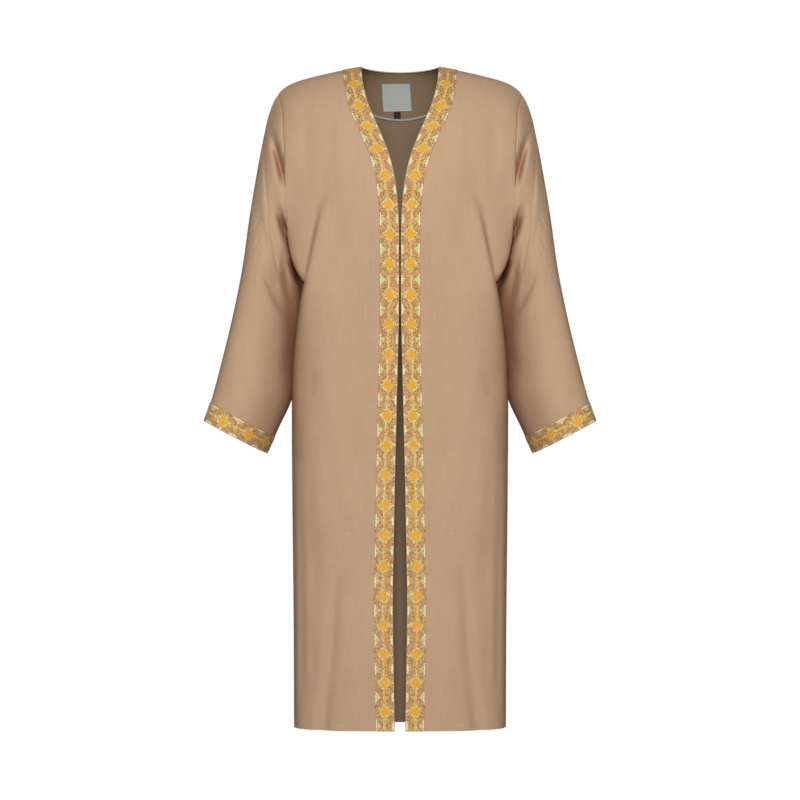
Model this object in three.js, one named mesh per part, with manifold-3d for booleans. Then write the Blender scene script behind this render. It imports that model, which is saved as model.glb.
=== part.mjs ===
// A long, open-fronted coat (manteau) in plain cloth, worn but with no wearer: a hollow form that
// hangs from the shoulders. Woven tape edges the fronts, the neck and the cuffs.
// Units are millimetres. +Z is up, the wearer faces -Y and the wearer's left is +X. The origin lies
// midway between the two shoulder neck points, where the coat rests on the wearer.
import * as THREE from "three";
import Module from "manifold-3d";

// ---- Driving dimensions --------------------------------------------------------------------------
const LENGTH = 1143; // shoulder neck point to hem
const NECK_HALF = 66.5; // centre to shoulder neck point
const NECK_BACK = 55; // how far behind the shoulder line the back neck lies
const NECK_DROP = 4; // centre back neck below the shoulder neck point
const SHOULDER_HALF = 212; // centre to shoulder tip
const SHOULDER_DROP = 48; // shoulder tip below the neck point
const SHOULDER_SLOPE = 33; // the part of that drop which is spread over the shoulder
const SHOULDER_CURVE = 1.2; // how late the shoulder line bends down
const TIP_ROUNDING = 10; // how late the rest of the drop comes, at the tip
const ARMPIT = 376; // underarm point below the neck point
const CLOTH = 1.2; // thickness of a wall of cloth
const SEAM = 0.3; // clearance between pieces that are sewn together
const TAPE_WIDTH = 33;
const TAPE_THICK = 1.0;
const HEM_DEPTH = 12; // cloth turned up inside the hem
const HEM_STEP = 1.2; // what the turned-up cloth adds to the wall
const FRONT_ROUNDING = 120; // drop over which the front turns down from the shoulder line
const BACK_ROUNDING = 70;
const BACK_SECTION = 2.9; // power of the back's rounded section
const EDGE_TURN = 48; // power of a row's turn to its outer edge
const SLEEVE_SECTION = 2.2; // power of a sleeve's rounded section
const SLEEVE_TUCK = 3; // how late a section turns back towards its inner edge
// Half-moon of cloth inside the back neck, bound along its curved edge.
const FACING = { halfWidth: 108, drop: 86, thick: 1.0 };
const BINDING = { width: 3.6, thick: 0.7 };
// Bare patches sewn to the facing. down is the height of the top edge, lean is in degrees.
const LABEL = { x: -7.5, down: 22, width: 49.5, height: 47.5, lean: 4, thick: 0.7 };
const SIZE_TAG = { x: -5, down: 70, width: 12, height: 11.7, lean: 1, thick: 0.6 };

// ---- Tables: one row for each section, `down` is the distance below the shoulder neck point ---------
// Body sections below the armpit. side is the Y of the side seam, front and back the half depths.
const BODY = [
  { down: 376, halfWidth: 164.5, side: 10, front: 113, back: 84 },
  { down: 408, halfWidth: 171.3, side: 14, front: 111, back: 81 },
  { down: 446, halfWidth: 177, side: 18, front: 108, back: 78 },
  { down: 528, halfWidth: 185.8, side: 22, front: 104, back: 82 },
  { down: 600, halfWidth: 187.4, side: 20, front: 102, back: 89 },
  { down: 760, halfWidth: 186.3, side: 16, front: 99, back: 90 },
  { down: 950, halfWidth: 184, side: 10, front: 94, back: 86 },
  { down: 1143, halfWidth: 183.2, side: 5, front: 88, back: 82 },
];
// Depth of the chest and of the upper back before they turn in to the shoulder line.
const CHEST = [
  { down: 0, front: 70, back: 66 },
  { down: 60, front: 82, back: 74 },
  { down: 130, front: 96, back: 85 },
  { down: 200, front: 110, back: 91 },
  { down: 270, front: 117, back: 91 },
  { down: 330, front: 117, back: 88 },
  { down: 376, front: 113, back: 84 },
];
// The armhole seam, from the shoulder tip to the underarm point.
const ARMHOLE = [
  { down: 48, x: 212, front: 0, backX: 212, back: 0 },
  { down: 74, x: 203.8, front: -34, backX: 203.8, back: 33 },
  { down: 110, x: 201, front: -54, backX: 199, back: 51 },
  { down: 165, x: 198.3, front: -66, backX: 194, back: 61 },
  { down: 215, x: 196.3, front: -68, backX: 191, back: 63 },
  { down: 262, x: 194.3, front: -61, backX: 189, back: 58 },
  { down: 296, x: 192.8, front: -47, backX: 186, back: 48 },
  { down: 326, x: 188.3, front: -28, backX: 182, back: 38 },
  { down: 348, x: 181, front: -11, backX: 176.5, back: 27 },
  { down: 364, x: 172.6, front: 1, backX: 170.5, back: 18 },
  { down: 376, x: 164.5, front: 10, backX: 164.5, back: 10 },
];
// The front edge: half of the gap between the two fronts, and the neckline above it.
const FRONT_EDGE = [
  { down: 0, x: 66.5 },
  { down: 22, x: 64.8 },
  { down: 45, x: 61.2 },
  { down: 72, x: 53.6 },
  { down: 97, x: 43 },
  { down: 123, x: 32 },
  { down: 149, x: 21.5 },
  { down: 180, x: 12.5 },
  { down: 211, x: 7 },
  { down: 235, x: 4.4 },
  { down: 265, x: 2.4 },
  { down: 310, x: 1.6 },
  { down: 420, x: 1.7 },
  { down: 475, x: 2.7 },
  { down: 543, x: 4.3 },
  { down: 611, x: 6.0 },
  { down: 679, x: 7.7 },
  { down: 764, x: 9.4 },
  { down: 850, x: 11.1 },
  { down: 918, x: 11.9 },
  { down: 1003, x: 11.3 },
  { down: 1071, x: 10.2 },
  { down: 1143, x: 8.9 },
];
// Sleeve sections, by share of the way from the armhole to the cuff. Each runs from the outer edge
// to the inner edge, and depth is its half depth.
const SLEEVE = [
  { share: 0.0, outX: 212, outDown: 48, outY: 0, inX: 164.5, inDown: 376, inY: 10, depth: 60 },
  { share: 0.05, outX: 221, outDown: 66, outY: -2, inX: 168.6, inDown: 387, inY: 19, depth: 58 },
  { share: 0.12, outX: 229.8, outDown: 94, outY: -5, inX: 170.8, inDown: 400, inY: 31, depth: 57 },
  { share: 0.25, outX: 244, outDown: 165, outY: -10, inX: 173.7, inDown: 423, inY: 43, depth: 55 },
  { share: 0.4, outX: 259, outDown: 257, outY: -18, inX: 177.6, inDown: 453, inY: 50, depth: 52 },
  { share: 0.55, outX: 271.8, outDown: 350, outY: -26, inX: 181.7, inDown: 488, inY: 54, depth: 50 },
  { share: 0.7, outX: 289.8, outDown: 441, outY: -34, inX: 185, inDown: 528, inY: 54, depth: 48 },
  { share: 0.85, outX: 311, outDown: 529, outY: -42, inX: 189.2, inDown: 575, inY: 38, depth: 45 },
  { share: 0.93, outX: 323.7, outDown: 576, outY: -45, inX: 211.5, inDown: 625, inY: 18, depth: 43 },
  { share: 1.0, outX: 336.3, outDown: 613, outY: -47, inX: 231.5, inDown: 669, inY: 6, depth: 40 },
];
// The drape from the bust to the underarm: cloth outside x lies further in by step.
const DRAPE = [
  { down: 170, x: 92, step: 0, soft: 26 },
  { down: 205, x: 109, step: 4, soft: 16 },
  { down: 238, x: 130, step: 9, soft: 8 },
  { down: 275, x: 140.5, step: 13, soft: 4 },
  { down: 313, x: 148.5, step: 14, soft: 3 },
  { down: 348, x: 156, step: 13, soft: 3 },
  { down: 374, x: 161.5, step: 9, soft: 3 },
  { down: 392, x: 166, step: 0, soft: 4 },
];
// Half width a row is rounded over, and the two powers that say how square a front row is.
const FRONT_SECTION = [
  { down: 0, reach: 212, across: 2.9, depth: 1.05 },
  { down: 190, reach: 197.5, across: 2.9, depth: 1.05 },
  { down: 235, reach: 195.8, across: 3.0, depth: 1.4 },
  { down: 290, reach: 194, across: 3.5, depth: 2.4 },
  { down: 340, reach: 190.5, across: 4.8, depth: 4.0 },
  { down: 376, reach: 187.5, across: 6.5, depth: 6.2 },
  { down: 410, reach: 186, across: 5.2, depth: 5.2 },
  { down: 470, reach: 186.5, across: 3.8, depth: 3.8 },
  { down: 560, reach: 188, across: 3.0, depth: 3.0 },
  { down: 1143, reach: 183.2, across: 2.9, depth: 2.9 },
];
// Where a front's guide column runs, as a share of the way from the tape to the side.
const GUIDE = [
  { down: 0, share: 0.5 },
  { down: 170, share: 0.5 },
  { down: 400, share: 0.74 },
  { down: 1143, share: 0.7 },
];
// Folds, each a soft trough (or a ridge, where deep is negative) along a line on one piece. mid is
// how far the line's middle bows away from the straight one, towards the centre of the body.
const FOLDS = [
  { piece: "front", x: 106, down: 820, endX: 134, endDown: 1160, mid: 4, width: 11, deep: 7, fade: 0.35 },
  { piece: "front", x: 150, down: 700, endX: 160, endDown: 1160, mid: 0, width: 20, deep: 3, fade: 0.45 },
  { piece: "front", x: 164, down: 60, endX: 158, endDown: 225, mid: 0, width: 13, deep: 3.5, fade: 0.4 },
  { piece: "front", x: 118, down: 70, endX: 116, endDown: 175, mid: 0, width: 10, deep: 2.5, fade: 0.4 },
  { piece: "front", x: 163, down: 500, endX: 168, endDown: 625, mid: 0, width: 7, deep: 3, fade: 0.4 },
  { piece: "back", x: 128, down: 110, endX: 120, endDown: 420, mid: 6, width: 18, deep: 6, fade: 0.4 },
  { piece: "back", x: 64, down: 420, endX: 78, endDown: 1170, mid: 6, width: 17, deep: 7, fade: 0.4 },
  { piece: "back", x: 128, down: 560, endX: 142, endDown: 1180, mid: -4, width: 15, deep: 7, fade: 0.4 },
  { piece: "back", x: 8, down: 470, endX: -6, endDown: 1170, mid: 0, width: 20, deep: 5, fade: 0.45 },
  { piece: "sleeve_front", x: 228, down: 98, endX: 196, endDown: 226, mid: 3, width: 7, deep: 17, fade: 0.4 },
  { piece: "sleeve_front", x: 213, down: 236, endX: 191, endDown: 312, mid: 0, width: 7, deep: 16, fade: 0.4 },
  { piece: "sleeve_front", x: 201, down: 290, endX: 177, endDown: 440, mid: 0, width: 9, deep: -11, fade: 0.35 },
  { piece: "sleeve_front", x: 238, down: 150, endX: 212, endDown: 340, mid: -9, width: 7, deep: -4, fade: 0.4 },
  { piece: "sleeve_front", x: 225, down: 350, endX: 195, endDown: 432, mid: -4, width: 8, deep: 7, fade: 0.4 },
  { piece: "sleeve_back", x: 222, down: 130, endX: 200, endDown: 330, mid: 4, width: 12, deep: 7, fade: 0.45 },
  { piece: "sleeve_back", x: 262, down: 300, endX: 205, endDown: 440, mid: 0, width: 11, deep: 6, fade: 0.4 },
  { piece: "sleeve_back", x: 282, down: 380, endX: 214, endDown: 500, mid: 0, width: 11, deep: 5, fade: 0.4 },
];

// ---- Mesh density ----------------------------------------------------------------------------------
const SKIRT_ROWS = 10; // hem to armpit, besides the hem's own rows
const YOKE_ROWS = 14; // armpit to shoulder
const TAPE_COLUMNS = 2; // across the tape
const FRONT_COLUMNS = 16; // from the tape to the side seam
const NECK_COLUMNS = 4; // centre back to the neck point
const BACK_COLUMNS = 8; // neck point to the side
const SLEEVE_RINGS = 13; // armhole to the top of the cuff tape
const TRACE = 240; // steps along a row when it is measured

// ---- Small tools -----------------------------------------------------------------------------------
const clamp = (v, low = 0, high = 1) => Math.min(high, Math.max(low, v));
const ease = (v) => clamp(v) ** 2 * (3 - 2 * clamp(v));
const mix = (a, b, share) => a + (b - a) * share;
const quarterRound = (v) => Math.sqrt(1 - (1 - clamp(v)) ** 2);

// A smooth function through one column of a table, read by its key column.
function smooth(table, key, column) {
  const at = table.map((row) => row[key]);
  const value = table.map((row) => row[column]);
  const slope = at.map((_, i) => {
    const before = Math.max(i - 1, 0);
    const after = Math.min(i + 1, at.length - 1);
    return (value[after] - value[before]) / (at[after] - at[before]);
  });
  return (position) => {
    const p = clamp(position, at[0], at.at(-1));
    let i = 0;
    while (i < at.length - 2 && p > at[i + 1]) i += 1;
    const span = at[i + 1] - at[i];
    const s = (p - at[i]) / span;
    const rise = s * s * (3 - 2 * s);
    return (
      mix(value[i], value[i + 1], rise) +
      span * (slope[i] * s * (1 - s) ** 2 - slope[i + 1] * s * s * (1 - s))
    );
  };
}

const body = {
  halfWidth: smooth(BODY, "down", "halfWidth"),
  side: smooth(BODY, "down", "side"),
  front: smooth(BODY, "down", "front"),
  back: smooth(BODY, "down", "back"),
};
const chest = { front: smooth(CHEST, "down", "front"), back: smooth(CHEST, "down", "back") };
const armhole = {
  front: { x: smooth(ARMHOLE, "down", "x"), y: smooth(ARMHOLE, "down", "front") },
  back: { x: smooth(ARMHOLE, "down", "backX"), y: smooth(ARMHOLE, "down", "back") },
};
const edgeX = smooth(FRONT_EDGE, "down", "x");
const drape = {
  x: smooth(DRAPE, "down", "x"),
  step: smooth(DRAPE, "down", "step"),
  soft: smooth(DRAPE, "down", "soft"),
};
const section = {
  reach: smooth(FRONT_SECTION, "down", "reach"),
  across: smooth(FRONT_SECTION, "down", "across"),
  depth: smooth(FRONT_SECTION, "down", "depth"),
};
const guideShare = smooth(GUIDE, "down", "share");
const sleeveAt = Object.fromEntries(
  Object.keys(SLEEVE[0]).map((column) => [column, smooth(SLEEVE, "share", column)]),
);

// How deep the folds of one piece are at a place, in millimetres.
function foldDepth(piece, x, down) {
  let depth = 0;
  for (const fold of FOLDS.filter((f) => f.piece === piece)) {
    const dx = fold.endX - fold.x;
    const dz = fold.endDown - fold.down;
    const long = dx * dx + dz * dz;
    const along = clamp(((x - fold.x) * dx + (down - fold.down) * dz) / long);
    const bow = fold.mid * Math.sin(Math.PI * along);
    const nearX = fold.x + dx * along - bow;
    const nearDown = fold.down + dz * along;
    const off = Math.hypot(x - nearX, down - nearDown) / fold.width;
    const taper = ease(along / fold.fade) * ease((1 - along) / fold.fade + 0.001);
    const past = fold.endDown > LENGTH ? ease(along / fold.fade) : taper; // runs out of the hem
    depth += fold.deep * past * Math.exp(-off * off);
  }
  return depth;
}

// ---- The body's surface ------------------------------------------------------------------------------
// A row is named by its level: 0 to 1 from the hem to the armpit, 1 to 2 from there to the shoulder.
// Height of the shoulder line at x, for a row that ends at endX: level, then sloping to the tip.
function shoulderLine(x, endX = SHOULDER_HALF) {
  const share = clamp((x - NECK_HALF) / (endX - NECK_HALF));
  const tip = (SHOULDER_DROP - SHOULDER_SLOPE) * share ** TIP_ROUNDING;
  return -SHOULDER_SLOPE * share ** SHOULDER_CURVE - tip;
}

function neckLine(x) {
  const share = clamp(1 - (x / NECK_HALF) ** 2);
  return { y: NECK_BACK * Math.sqrt(share), z: -NECK_DROP * share };
}

function rowHeight(face, level, x) {
  if (level <= 1) return mix(-LENGTH, -ARMPIT, level);
  const inNeck = face === "back" && x < NECK_HALF;
  const top = inNeck ? neckLine(x).z : shoulderLine(x, rowEnd(face, level).x);
  return -ARMPIT + (level - 1) * (ARMPIT + top);
}

// Outer end of a row: the side seam, then the armhole seam.
function rowEnd(face, level) {
  if (level <= 1) {
    const down = mix(LENGTH, ARMPIT, level);
    return { x: body.halfWidth(down), y: body.side(down) };
  }
  const down = ARMPIT - (level - 1) * (ARMPIT - SHOULDER_DROP);
  return { x: armhole[face].x(down), y: armhole[face].y(down) };
}

// Depth of a row at x before any fold.
function rowDepth(face, level, x) {
  const end = rowEnd(face, level);
  const share = clamp(x / end.x);
  const rising = clamp(level - 1);
  const down = level <= 1 ? mix(LENGTH, ARMPIT, level) : ARMPIT * (1 - rising);
  const front = face === "front";
  const acrossPower = front ? section.across(down) : BACK_SECTION;
  const depthPower = front ? section.depth(down) : mix(BACK_SECTION, 1.25, ease(rising / 0.5));
  const reach = Math.max(end.x, section.reach(down));
  const broad = clamp(x / (front ? reach : mix(end.x, reach, ease((down - 230) / 70))));
  const turn = (1 - share ** EDGE_TURN) ** (1 / 6);
  const roundness = turn * (1 - broad ** acrossPower) ** (1 / depthPower);
  let full = level <= 1 ? body[face](down) : chest[face](down);
  if (level > 1 && front) full *= quarterRound(down / FRONT_ROUNDING);
  if (level > 1 && !front) {
    const top = neckLine(x).y;
    full = mix(top, full, quarterRound(down / BACK_ROUNDING));
  }
  return end.y + ((front ? -full : full) - end.y) * roundness;
}

// The drape's step and the folds, both as a distance inwards. They vanish at the row's end.
function rowRelief(face, level, x) {
  const down = -rowHeight(face, level, x);
  const share = clamp(x / rowEnd(face, level).x);
  const hold = 1 - share ** 30;
  let inwards = foldDepth(face, x, down);
  if (face === "back") inwards += foldDepth(face, -x, down);
  if (face === "front") {
    const beyond = (x - drape.x(down)) / drape.soft(down);
    inwards += drape.step(down) / (1 + Math.exp(-2.2 * beyond));
  }
  return inwards * hold * ease((down - 8) / 40);
}

function bodyPoint(face, level, x) {
  const sign = face === "front" ? -1 : 1;
  const y = rowDepth(face, level, x) - sign * rowRelief(face, level, x);
  return new THREE.Vector3(x, y, rowHeight(face, level, x));
}

// A row as a fine line from its inner to its outer end, with the distance walked at each step.
function traceRow(face, level) {
  const end = rowEnd(face, level).x;
  const z = level <= 1 ? mix(LENGTH, ARMPIT, level) : ARMPIT * (2 - level);
  const start = face === "front" ? edgeX(z) : 0;
  const first = Math.asin(clamp(start / end));
  const points = [];
  const walked = [0];
  for (let i = 0; i <= TRACE; i += 1) {
    const x = end * Math.sin(mix(first, Math.PI / 2, i / TRACE));
    points.push(bodyPoint(face, level, x));
    if (i) walked.push(walked[i - 1] + points[i].distanceTo(points[i - 1]));
  }
  return { points, walked, long: walked[TRACE] };
}

function alongRow(row, distance) {
  const d = clamp(distance, 0, row.long);
  let i = 0;
  while (i < TRACE - 1 && row.walked[i + 1] < d) i += 1;
  const share = (d - row.walked[i]) / (row.walked[i + 1] - row.walked[i]);
  return row.points[i].clone().lerp(row.points[i + 1], clamp(share));
}

// Levels of the rows: two close rows hold the edge of the turned-up hem.
function levels() {
  const hem = [0, HEM_DEPTH / 2, HEM_DEPTH, HEM_DEPTH + 0.6].map((h) => h / (LENGTH - ARMPIT));
  const skirt = Array.from({ length: SKIRT_ROWS }, (_, i) => (i + 1) / SKIRT_ROWS);
  const yoke = Array.from({ length: YOKE_ROWS }, (_, i) => {
    const share = (i + 1) / YOKE_ROWS;
    return 1 + mix(share, Math.sin((share * Math.PI) / 2), 0.55);
  });
  return [...hem, ...skirt, ...yoke];
}
const LEVELS = levels();
const ARMPIT_ROW = LEVELS.indexOf(1);

// How far to walk along a row to cross the tape squarely, given the edge's slope there.
function tapeSpan(level) {
  const step = 0.004;
  const a = traceRow("front", Math.max(0, level - step));
  const b = traceRow("front", Math.min(2, level + step));
  const along = b.points[0].clone().sub(a.points[0]).normalize();
  const here = traceRow("front", level);
  const across = alongRow(here, TAPE_WIDTH / 2).sub(here.points[0]).normalize();
  const skew = Math.sqrt(Math.max(0.2, 1 - along.dot(across) ** 2));
  return TAPE_WIDTH / skew;
}

// Shares of the way from the tape to the side: one column keeps to the drape's edge where it runs.
function frontShares(down) {
  const guide = guideShare(down);
  const half = FRONT_COLUMNS / 2;
  const spread = (i) => (i <= half ? (guide * i) / half : mix(guide, 1, (i - half) / half));
  return Array.from({ length: FRONT_COLUMNS + 1 }, (_, i) => spread(i));
}

function frontGrid() {
  return LEVELS.map((level) => {
    const row = traceRow("front", level);
    const tape = tapeSpan(level);
    const points = [];
    for (let i = 0; i < TAPE_COLUMNS; i += 1) points.push(alongRow(row, (tape * i) / TAPE_COLUMNS));
    for (const share of frontShares(-row.points[0].z)) {
      points.push(alongRow(row, mix(tape, row.long, share)));
    }
    return points;
  });
}

// The whole back, from the left side to the right. One column runs down from each neck point.
function backGrid() {
  const top = traceRow("back", 2);
  const neckShare = top.walked[top.points.findIndex((p) => p.x >= NECK_HALF)] / top.long;
  return LEVELS.map((level) => {
    const row = traceRow("back", level);
    const half = [];
    for (let i = 0; i < NECK_COLUMNS; i += 1) {
      half.push(alongRow(row, (row.long * neckShare * i) / NECK_COLUMNS));
    }
    for (let i = 0; i <= BACK_COLUMNS; i += 1) {
      half.push(alongRow(row, row.long * mix(neckShare, 1, i / BACK_COLUMNS)));
    }
    const other = half.slice(1).map((p) => new THREE.Vector3(-p.x, p.y, p.z));
    return [...half.reverse(), ...other];
  });
}

// ---- The sleeve's surface ------------------------------------------------------------------------------
// turn is 0 at the outer edge, 1 at the inner edge over the front, and -1 over the back.
function sleevePoint(share, rise, face) {
  const across = 1 - rise; // 0 at the shoulder tip, 1 at the underarm
  const down0 = ARMPIT - rise * (ARMPIT - SHOULDER_DROP);
  const seam = { x: armhole[face].x(down0), y: armhole[face].y(down0), down: down0 };
  const outer = { x: sleeveAt.outX(share), down: sleeveAt.outDown(share) };
  const inner = { x: sleeveAt.inX(share), down: sleeveAt.inDown(share) };
  const straight = {
    x: mix(sleeveAt.outX(0), sleeveAt.inX(0), across),
    down: mix(sleeveAt.outDown(0), sleeveAt.inDown(0), across),
  };
  const leaving = 1 - ease(share / 0.6);
  const x = mix(outer.x, inner.x, across) + (seam.x - straight.x) * leaving;
  const down = mix(outer.down, inner.down, across) + (seam.down - straight.down) * leaving;
  const sign = face === "front" ? -1 : 1;
  const roundness = (1 - Math.abs(2 * across - 1) ** SLEEVE_SECTION) ** (1 / SLEEVE_SECTION);
  const centre = mix(sleeveAt.outY(share), sleeveAt.inY(share), across ** SLEEVE_TUCK);
  const tube = centre + sign * sleeveAt.depth(share) * roundness;
  const joined = ease(share / mix(0.07, 0.42, ease(rise / 0.45))); // soonest at the underarm
  const relief = foldDepth(`sleeve_${face}`, x, down) * ease(share / 0.06) * roundness;
  return new THREE.Vector3(x, mix(seam.y, tube, joined) - sign * relief, -down);
}

// The ring's stations are the panels' own rows, so that seam and armhole share their points.
function sleeveStations() {
  const rise = LEVELS.slice(ARMPIT_ROW).map((level) => level - 1);
  const front = rise.map((r) => ({ rise: r, face: "front" })).reverse();
  const back = rise.slice(1, -1).map((r) => ({ rise: r, face: "back" }));
  return [...front, ...back];
}

function sleeveGrid() {
  const stations = sleeveStations();
  const rings = [];
  const long = (s) => sleevePoint(1, s.rise, s.face).distanceTo(sleevePoint(0.99, s.rise, s.face)) / 0.01;
  const cuff = stations.map((s) => TAPE_WIDTH / long(s));
  for (let i = 0; i <= SLEEVE_RINGS; i += 1) {
    const share = (i / SLEEVE_RINGS) ** 1.15;
    rings.push(stations.map((s, k) => sleevePoint(share * (1 - cuff[k]), s.rise, s.face)));
  }
  for (const part of [0.5, 0]) {
    rings.push(stations.map((s, k) => sleevePoint(1 - cuff[k] * part, s.rise, s.face)));
  }
  return rings;
}

// ---- From grids of points to walls of cloth --------------------------------------------------------------
// Unit normals of a grid: rows x columns of points, wrapped round where it is a tube.
function normals(grid, tube = false) {
  const rows = grid.length;
  const columns = grid[0].length;
  return grid.map((row, i) =>
    row.map((_, j) => {
      const up = grid[Math.min(i + 1, rows - 1)][j].clone().sub(grid[Math.max(i - 1, 0)][j]);
      const before = tube ? (j + columns - 1) % columns : Math.max(j - 1, 0);
      const after = tube ? (j + 1) % columns : Math.min(j + 1, columns - 1);
      const across = grid[i][after].clone().sub(grid[i][before]);
      return across.cross(up).normalize();
    }),
  );
}

// A surface: a grid of points with their normals.
const surface = (grid, tube = false) => ({ grid, normal: normals(grid, tube), tube });

function part(whole, rows, columns) {
  const pick = (list) => rows.map((i) => columns.map((j) => list[i][j]));
  return { grid: pick(whole.grid), normal: pick(whole.normal), tube: whole.tube };
}

// The surface moved out by a distance, which may differ from row to row.
function moved(whole, by) {
  const distance = typeof by === "function" ? by : () => by;
  return whole.grid.map((row, i) =>
    row.map((p, j) => p.clone().addScaledVector(whole.normal[i][j], distance(i))),
  );
}

// A closed wall of cloth between two distances from a surface.
function wall(whole, from, to) {
  const outer = moved(whole, to);
  const inner = moved(whole, from);
  const rows = outer.length;
  const columns = outer[0].length;
  const index = [];
  const out = (i, j) => i * columns + (j % columns);
  const into = (i, j) => rows * columns + out(i, j);
  const quad = (a, b, c, d) => index.push(a, b, c, a, c, d);
  const last = whole.tube ? columns : columns - 1;
  for (let i = 0; i < rows - 1; i += 1) {
    for (let j = 0; j < last; j += 1) {
      quad(out(i, j), out(i, j + 1), out(i + 1, j + 1), out(i + 1, j));
      quad(into(i, j), into(i + 1, j), into(i + 1, j + 1), into(i, j + 1));
    }
  }
  for (let j = 0; j < last; j += 1) {
    quad(out(0, j), into(0, j), into(0, j + 1), out(0, j + 1));
    quad(out(rows - 1, j), out(rows - 1, j + 1), into(rows - 1, j + 1), into(rows - 1, j));
  }
  for (let i = 0; i < rows - 1 && !whole.tube; i += 1) {
    quad(out(i, 0), out(i + 1, 0), into(i + 1, 0), into(i, 0));
    quad(out(i, last), into(i, last), into(i + 1, last), out(i + 1, last));
  }
  return geometryFrom([...outer.flat(), ...inner.flat()].flatMap((p) => [p.x, p.y, p.z]), index);
}

function geometryFrom(positions, index) {
  const geometry = new THREE.BufferGeometry();
  geometry.setAttribute("position", new THREE.Float32BufferAttribute(positions, 3));
  geometry.setIndex(index);
  geometry.computeVertexNormals();
  return geometry;
}

// ---- Seams -------------------------------------------------------------------------------------------
// Sets two edge points either side of their seam and, over a ridge, gives them one normal, so that
// the two walls end side by side. `along` is the seam's direction, `across` leads from a to b.
function sew(a, i, j, b, k, l, along) {
  const na = a.normal[i][j];
  const nb = b.normal[k][l];
  const both = na.clone().add(nb);
  let across = along.clone().cross(both);
  if (both.length() < 0.25) across = na.clone().sub(nb);
  across.normalize();
  const shared = a.grid[i][j].clone();
  a.grid[i][j] = shared.clone().addScaledVector(across, -SEAM / 2);
  b.grid[k][l] = shared.clone().addScaledVector(across, SEAM / 2);
  if (nb.clone().sub(na).dot(across) < 0) return;
  a.normal[i][j] = both.clone().normalize();
  b.normal[k][l] = a.normal[i][j].clone();
}

// Direction of a panel's edge at one row, upwards.
function edgeDirection(grid, i, j) {
  const above = grid[Math.min(i + 1, grid.length - 1)][j];
  return above.clone().sub(grid[Math.max(i - 1, 0)][j]).normalize();
}

// The sleeve's station for a panel row above the armpit, on the front or over the back.
function stationOf(row, face, stations) {
  const level = row - ARMPIT_ROW;
  const top = LEVELS.length - 1 - ARMPIT_ROW;
  if (face === "front" || level === top || level === 0) return top - level;
  return (top + level) % stations;
}

function sewBody(front, back, sleeve) {
  const topRow = LEVELS.length - 1;
  const lastFront = front.grid[0].length - 1;
  const stations = sleeve.grid[0].length;
  const frontEdge = front.grid.map((_, i) => edgeDirection(front.grid, i, lastFront));
  const backEdge = back.grid.map((_, i) => edgeDirection(back.grid, i, 0));
  const outward = sleeve.grid[0].map((p, k) => sleeve.grid[1][k].clone().sub(p).normalize());
  for (let i = ARMPIT_ROW + 1; i < topRow; i += 1) {
    sew(front, i, lastFront, sleeve, 0, stationOf(i, "front", stations), frontEdge[i]);
    const down = backEdge[i].clone().negate();
    sew(back, i, 0, sleeve, 0, stationOf(i, "back", stations), down);
  }
  for (let i = 0; i <= ARMPIT_ROW; i += 1) sew(front, i, lastFront, back, i, 0, frontEdge[i]);
  for (const i of [ARMPIT_ROW, topRow]) {
    const k = stationOf(i, "front", stations);
    sleeve.grid[0][k].addScaledVector(outward[k], SEAM);
  }
  // The shoulder seam: the front in front of it, the back behind it, with one normal for both.
  const upright = (x) => {
    const rise = shoulderLine(Math.abs(x) + 1) - shoulderLine(Math.abs(x) - 1);
    return new THREE.Vector3((-rise / 2) * Math.sign(x), 0, 1).normalize();
  };
  front.grid[topRow].forEach((p, j) => {
    p.y = -SEAM / 2;
    front.normal[topRow][j] = upright(p.x);
  });
  back.grid[topRow].forEach((p, j) => {
    if (Math.abs(p.x) < NECK_HALF - 0.5) return;
    p.y = SEAM / 2;
    back.normal[topRow][j] = upright(p.x);
  });
  // Front, back and sleeve meet at the shoulder tip.
  const tip = stationOf(topRow, "front", stations);
  const tipNormal = upright(SHOULDER_HALF).add(sleeve.normal[0][tip]).normalize();
  front.normal[topRow][lastFront] = tipNormal;
  back.normal[topRow][0] = tipNormal;
  sleeve.normal[0][tip] = tipNormal;
  // The back's other edge mirrors this one.
  const lastBack = back.grid[0].length - 1;
  back.grid.forEach((row, i) => {
    row[lastBack].set(-row[0].x, row[0].y, row[0].z);
    const n = back.normal[i][0];
    back.normal[i][lastBack].set(-n.x, n.y, n.z);
  });
}

// ---- Cutting, for the pieces that lie on the back neck -----------------------------------------------
const wasm = await Module();
wasm.setup();
const { Manifold, Mesh } = wasm;

function solidFrom(geometry) {
  const vertProperties = new Float32Array(geometry.attributes.position.array);
  const triVerts = new Uint32Array(geometry.index.array);
  return new Manifold(new Mesh({ numProp: 3, vertProperties, triVerts }));
}

function geometryOf(solid) {
  const mesh = solid.getMesh();
  const positions = [];
  for (let i = 0; i < mesh.numVert; i += 1) {
    positions.push(...mesh.vertProperties.slice(i * mesh.numProp, i * mesh.numProp + 3));
  }
  return geometryFrom(positions, Array.from(mesh.triVerts));
}

// A shape drawn on the XZ plane, carried through the back of the coat along Y.
const throughBack = (outline) => Manifold.extrude([outline], 300).rotate([90, 0, 0]).translate([0, 301, 0]);

// Half-moon outline, its curved edge drawn in by a margin.
function halfMoon(margin = 0) {
  const steps = 36;
  const outline = [];
  for (let i = 0; i <= steps; i += 1) {
    const angle = -Math.PI + (Math.PI * i) / steps;
    outline.push([(FACING.halfWidth - margin) * Math.cos(angle), (FACING.drop - margin) * Math.sin(angle)]);
  }
  return [...outline, [FACING.halfWidth - margin, 40], [margin - FACING.halfWidth, 40]];
}

function patchOutline(patch) {
  const lean = THREE.MathUtils.degToRad(patch.lean);
  const half = patch.width / 2;
  const corners = [
    [-half, 0],
    [-half, -patch.height],
    [half, -patch.height],
    [half, 0],
  ];
  const turned = ([x, z]) => [
    patch.x + x * Math.cos(lean) - z * Math.sin(lean),
    -patch.down + x * Math.sin(lean) + z * Math.cos(lean),
  ];
  return corners.map(turned);
}

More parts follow.
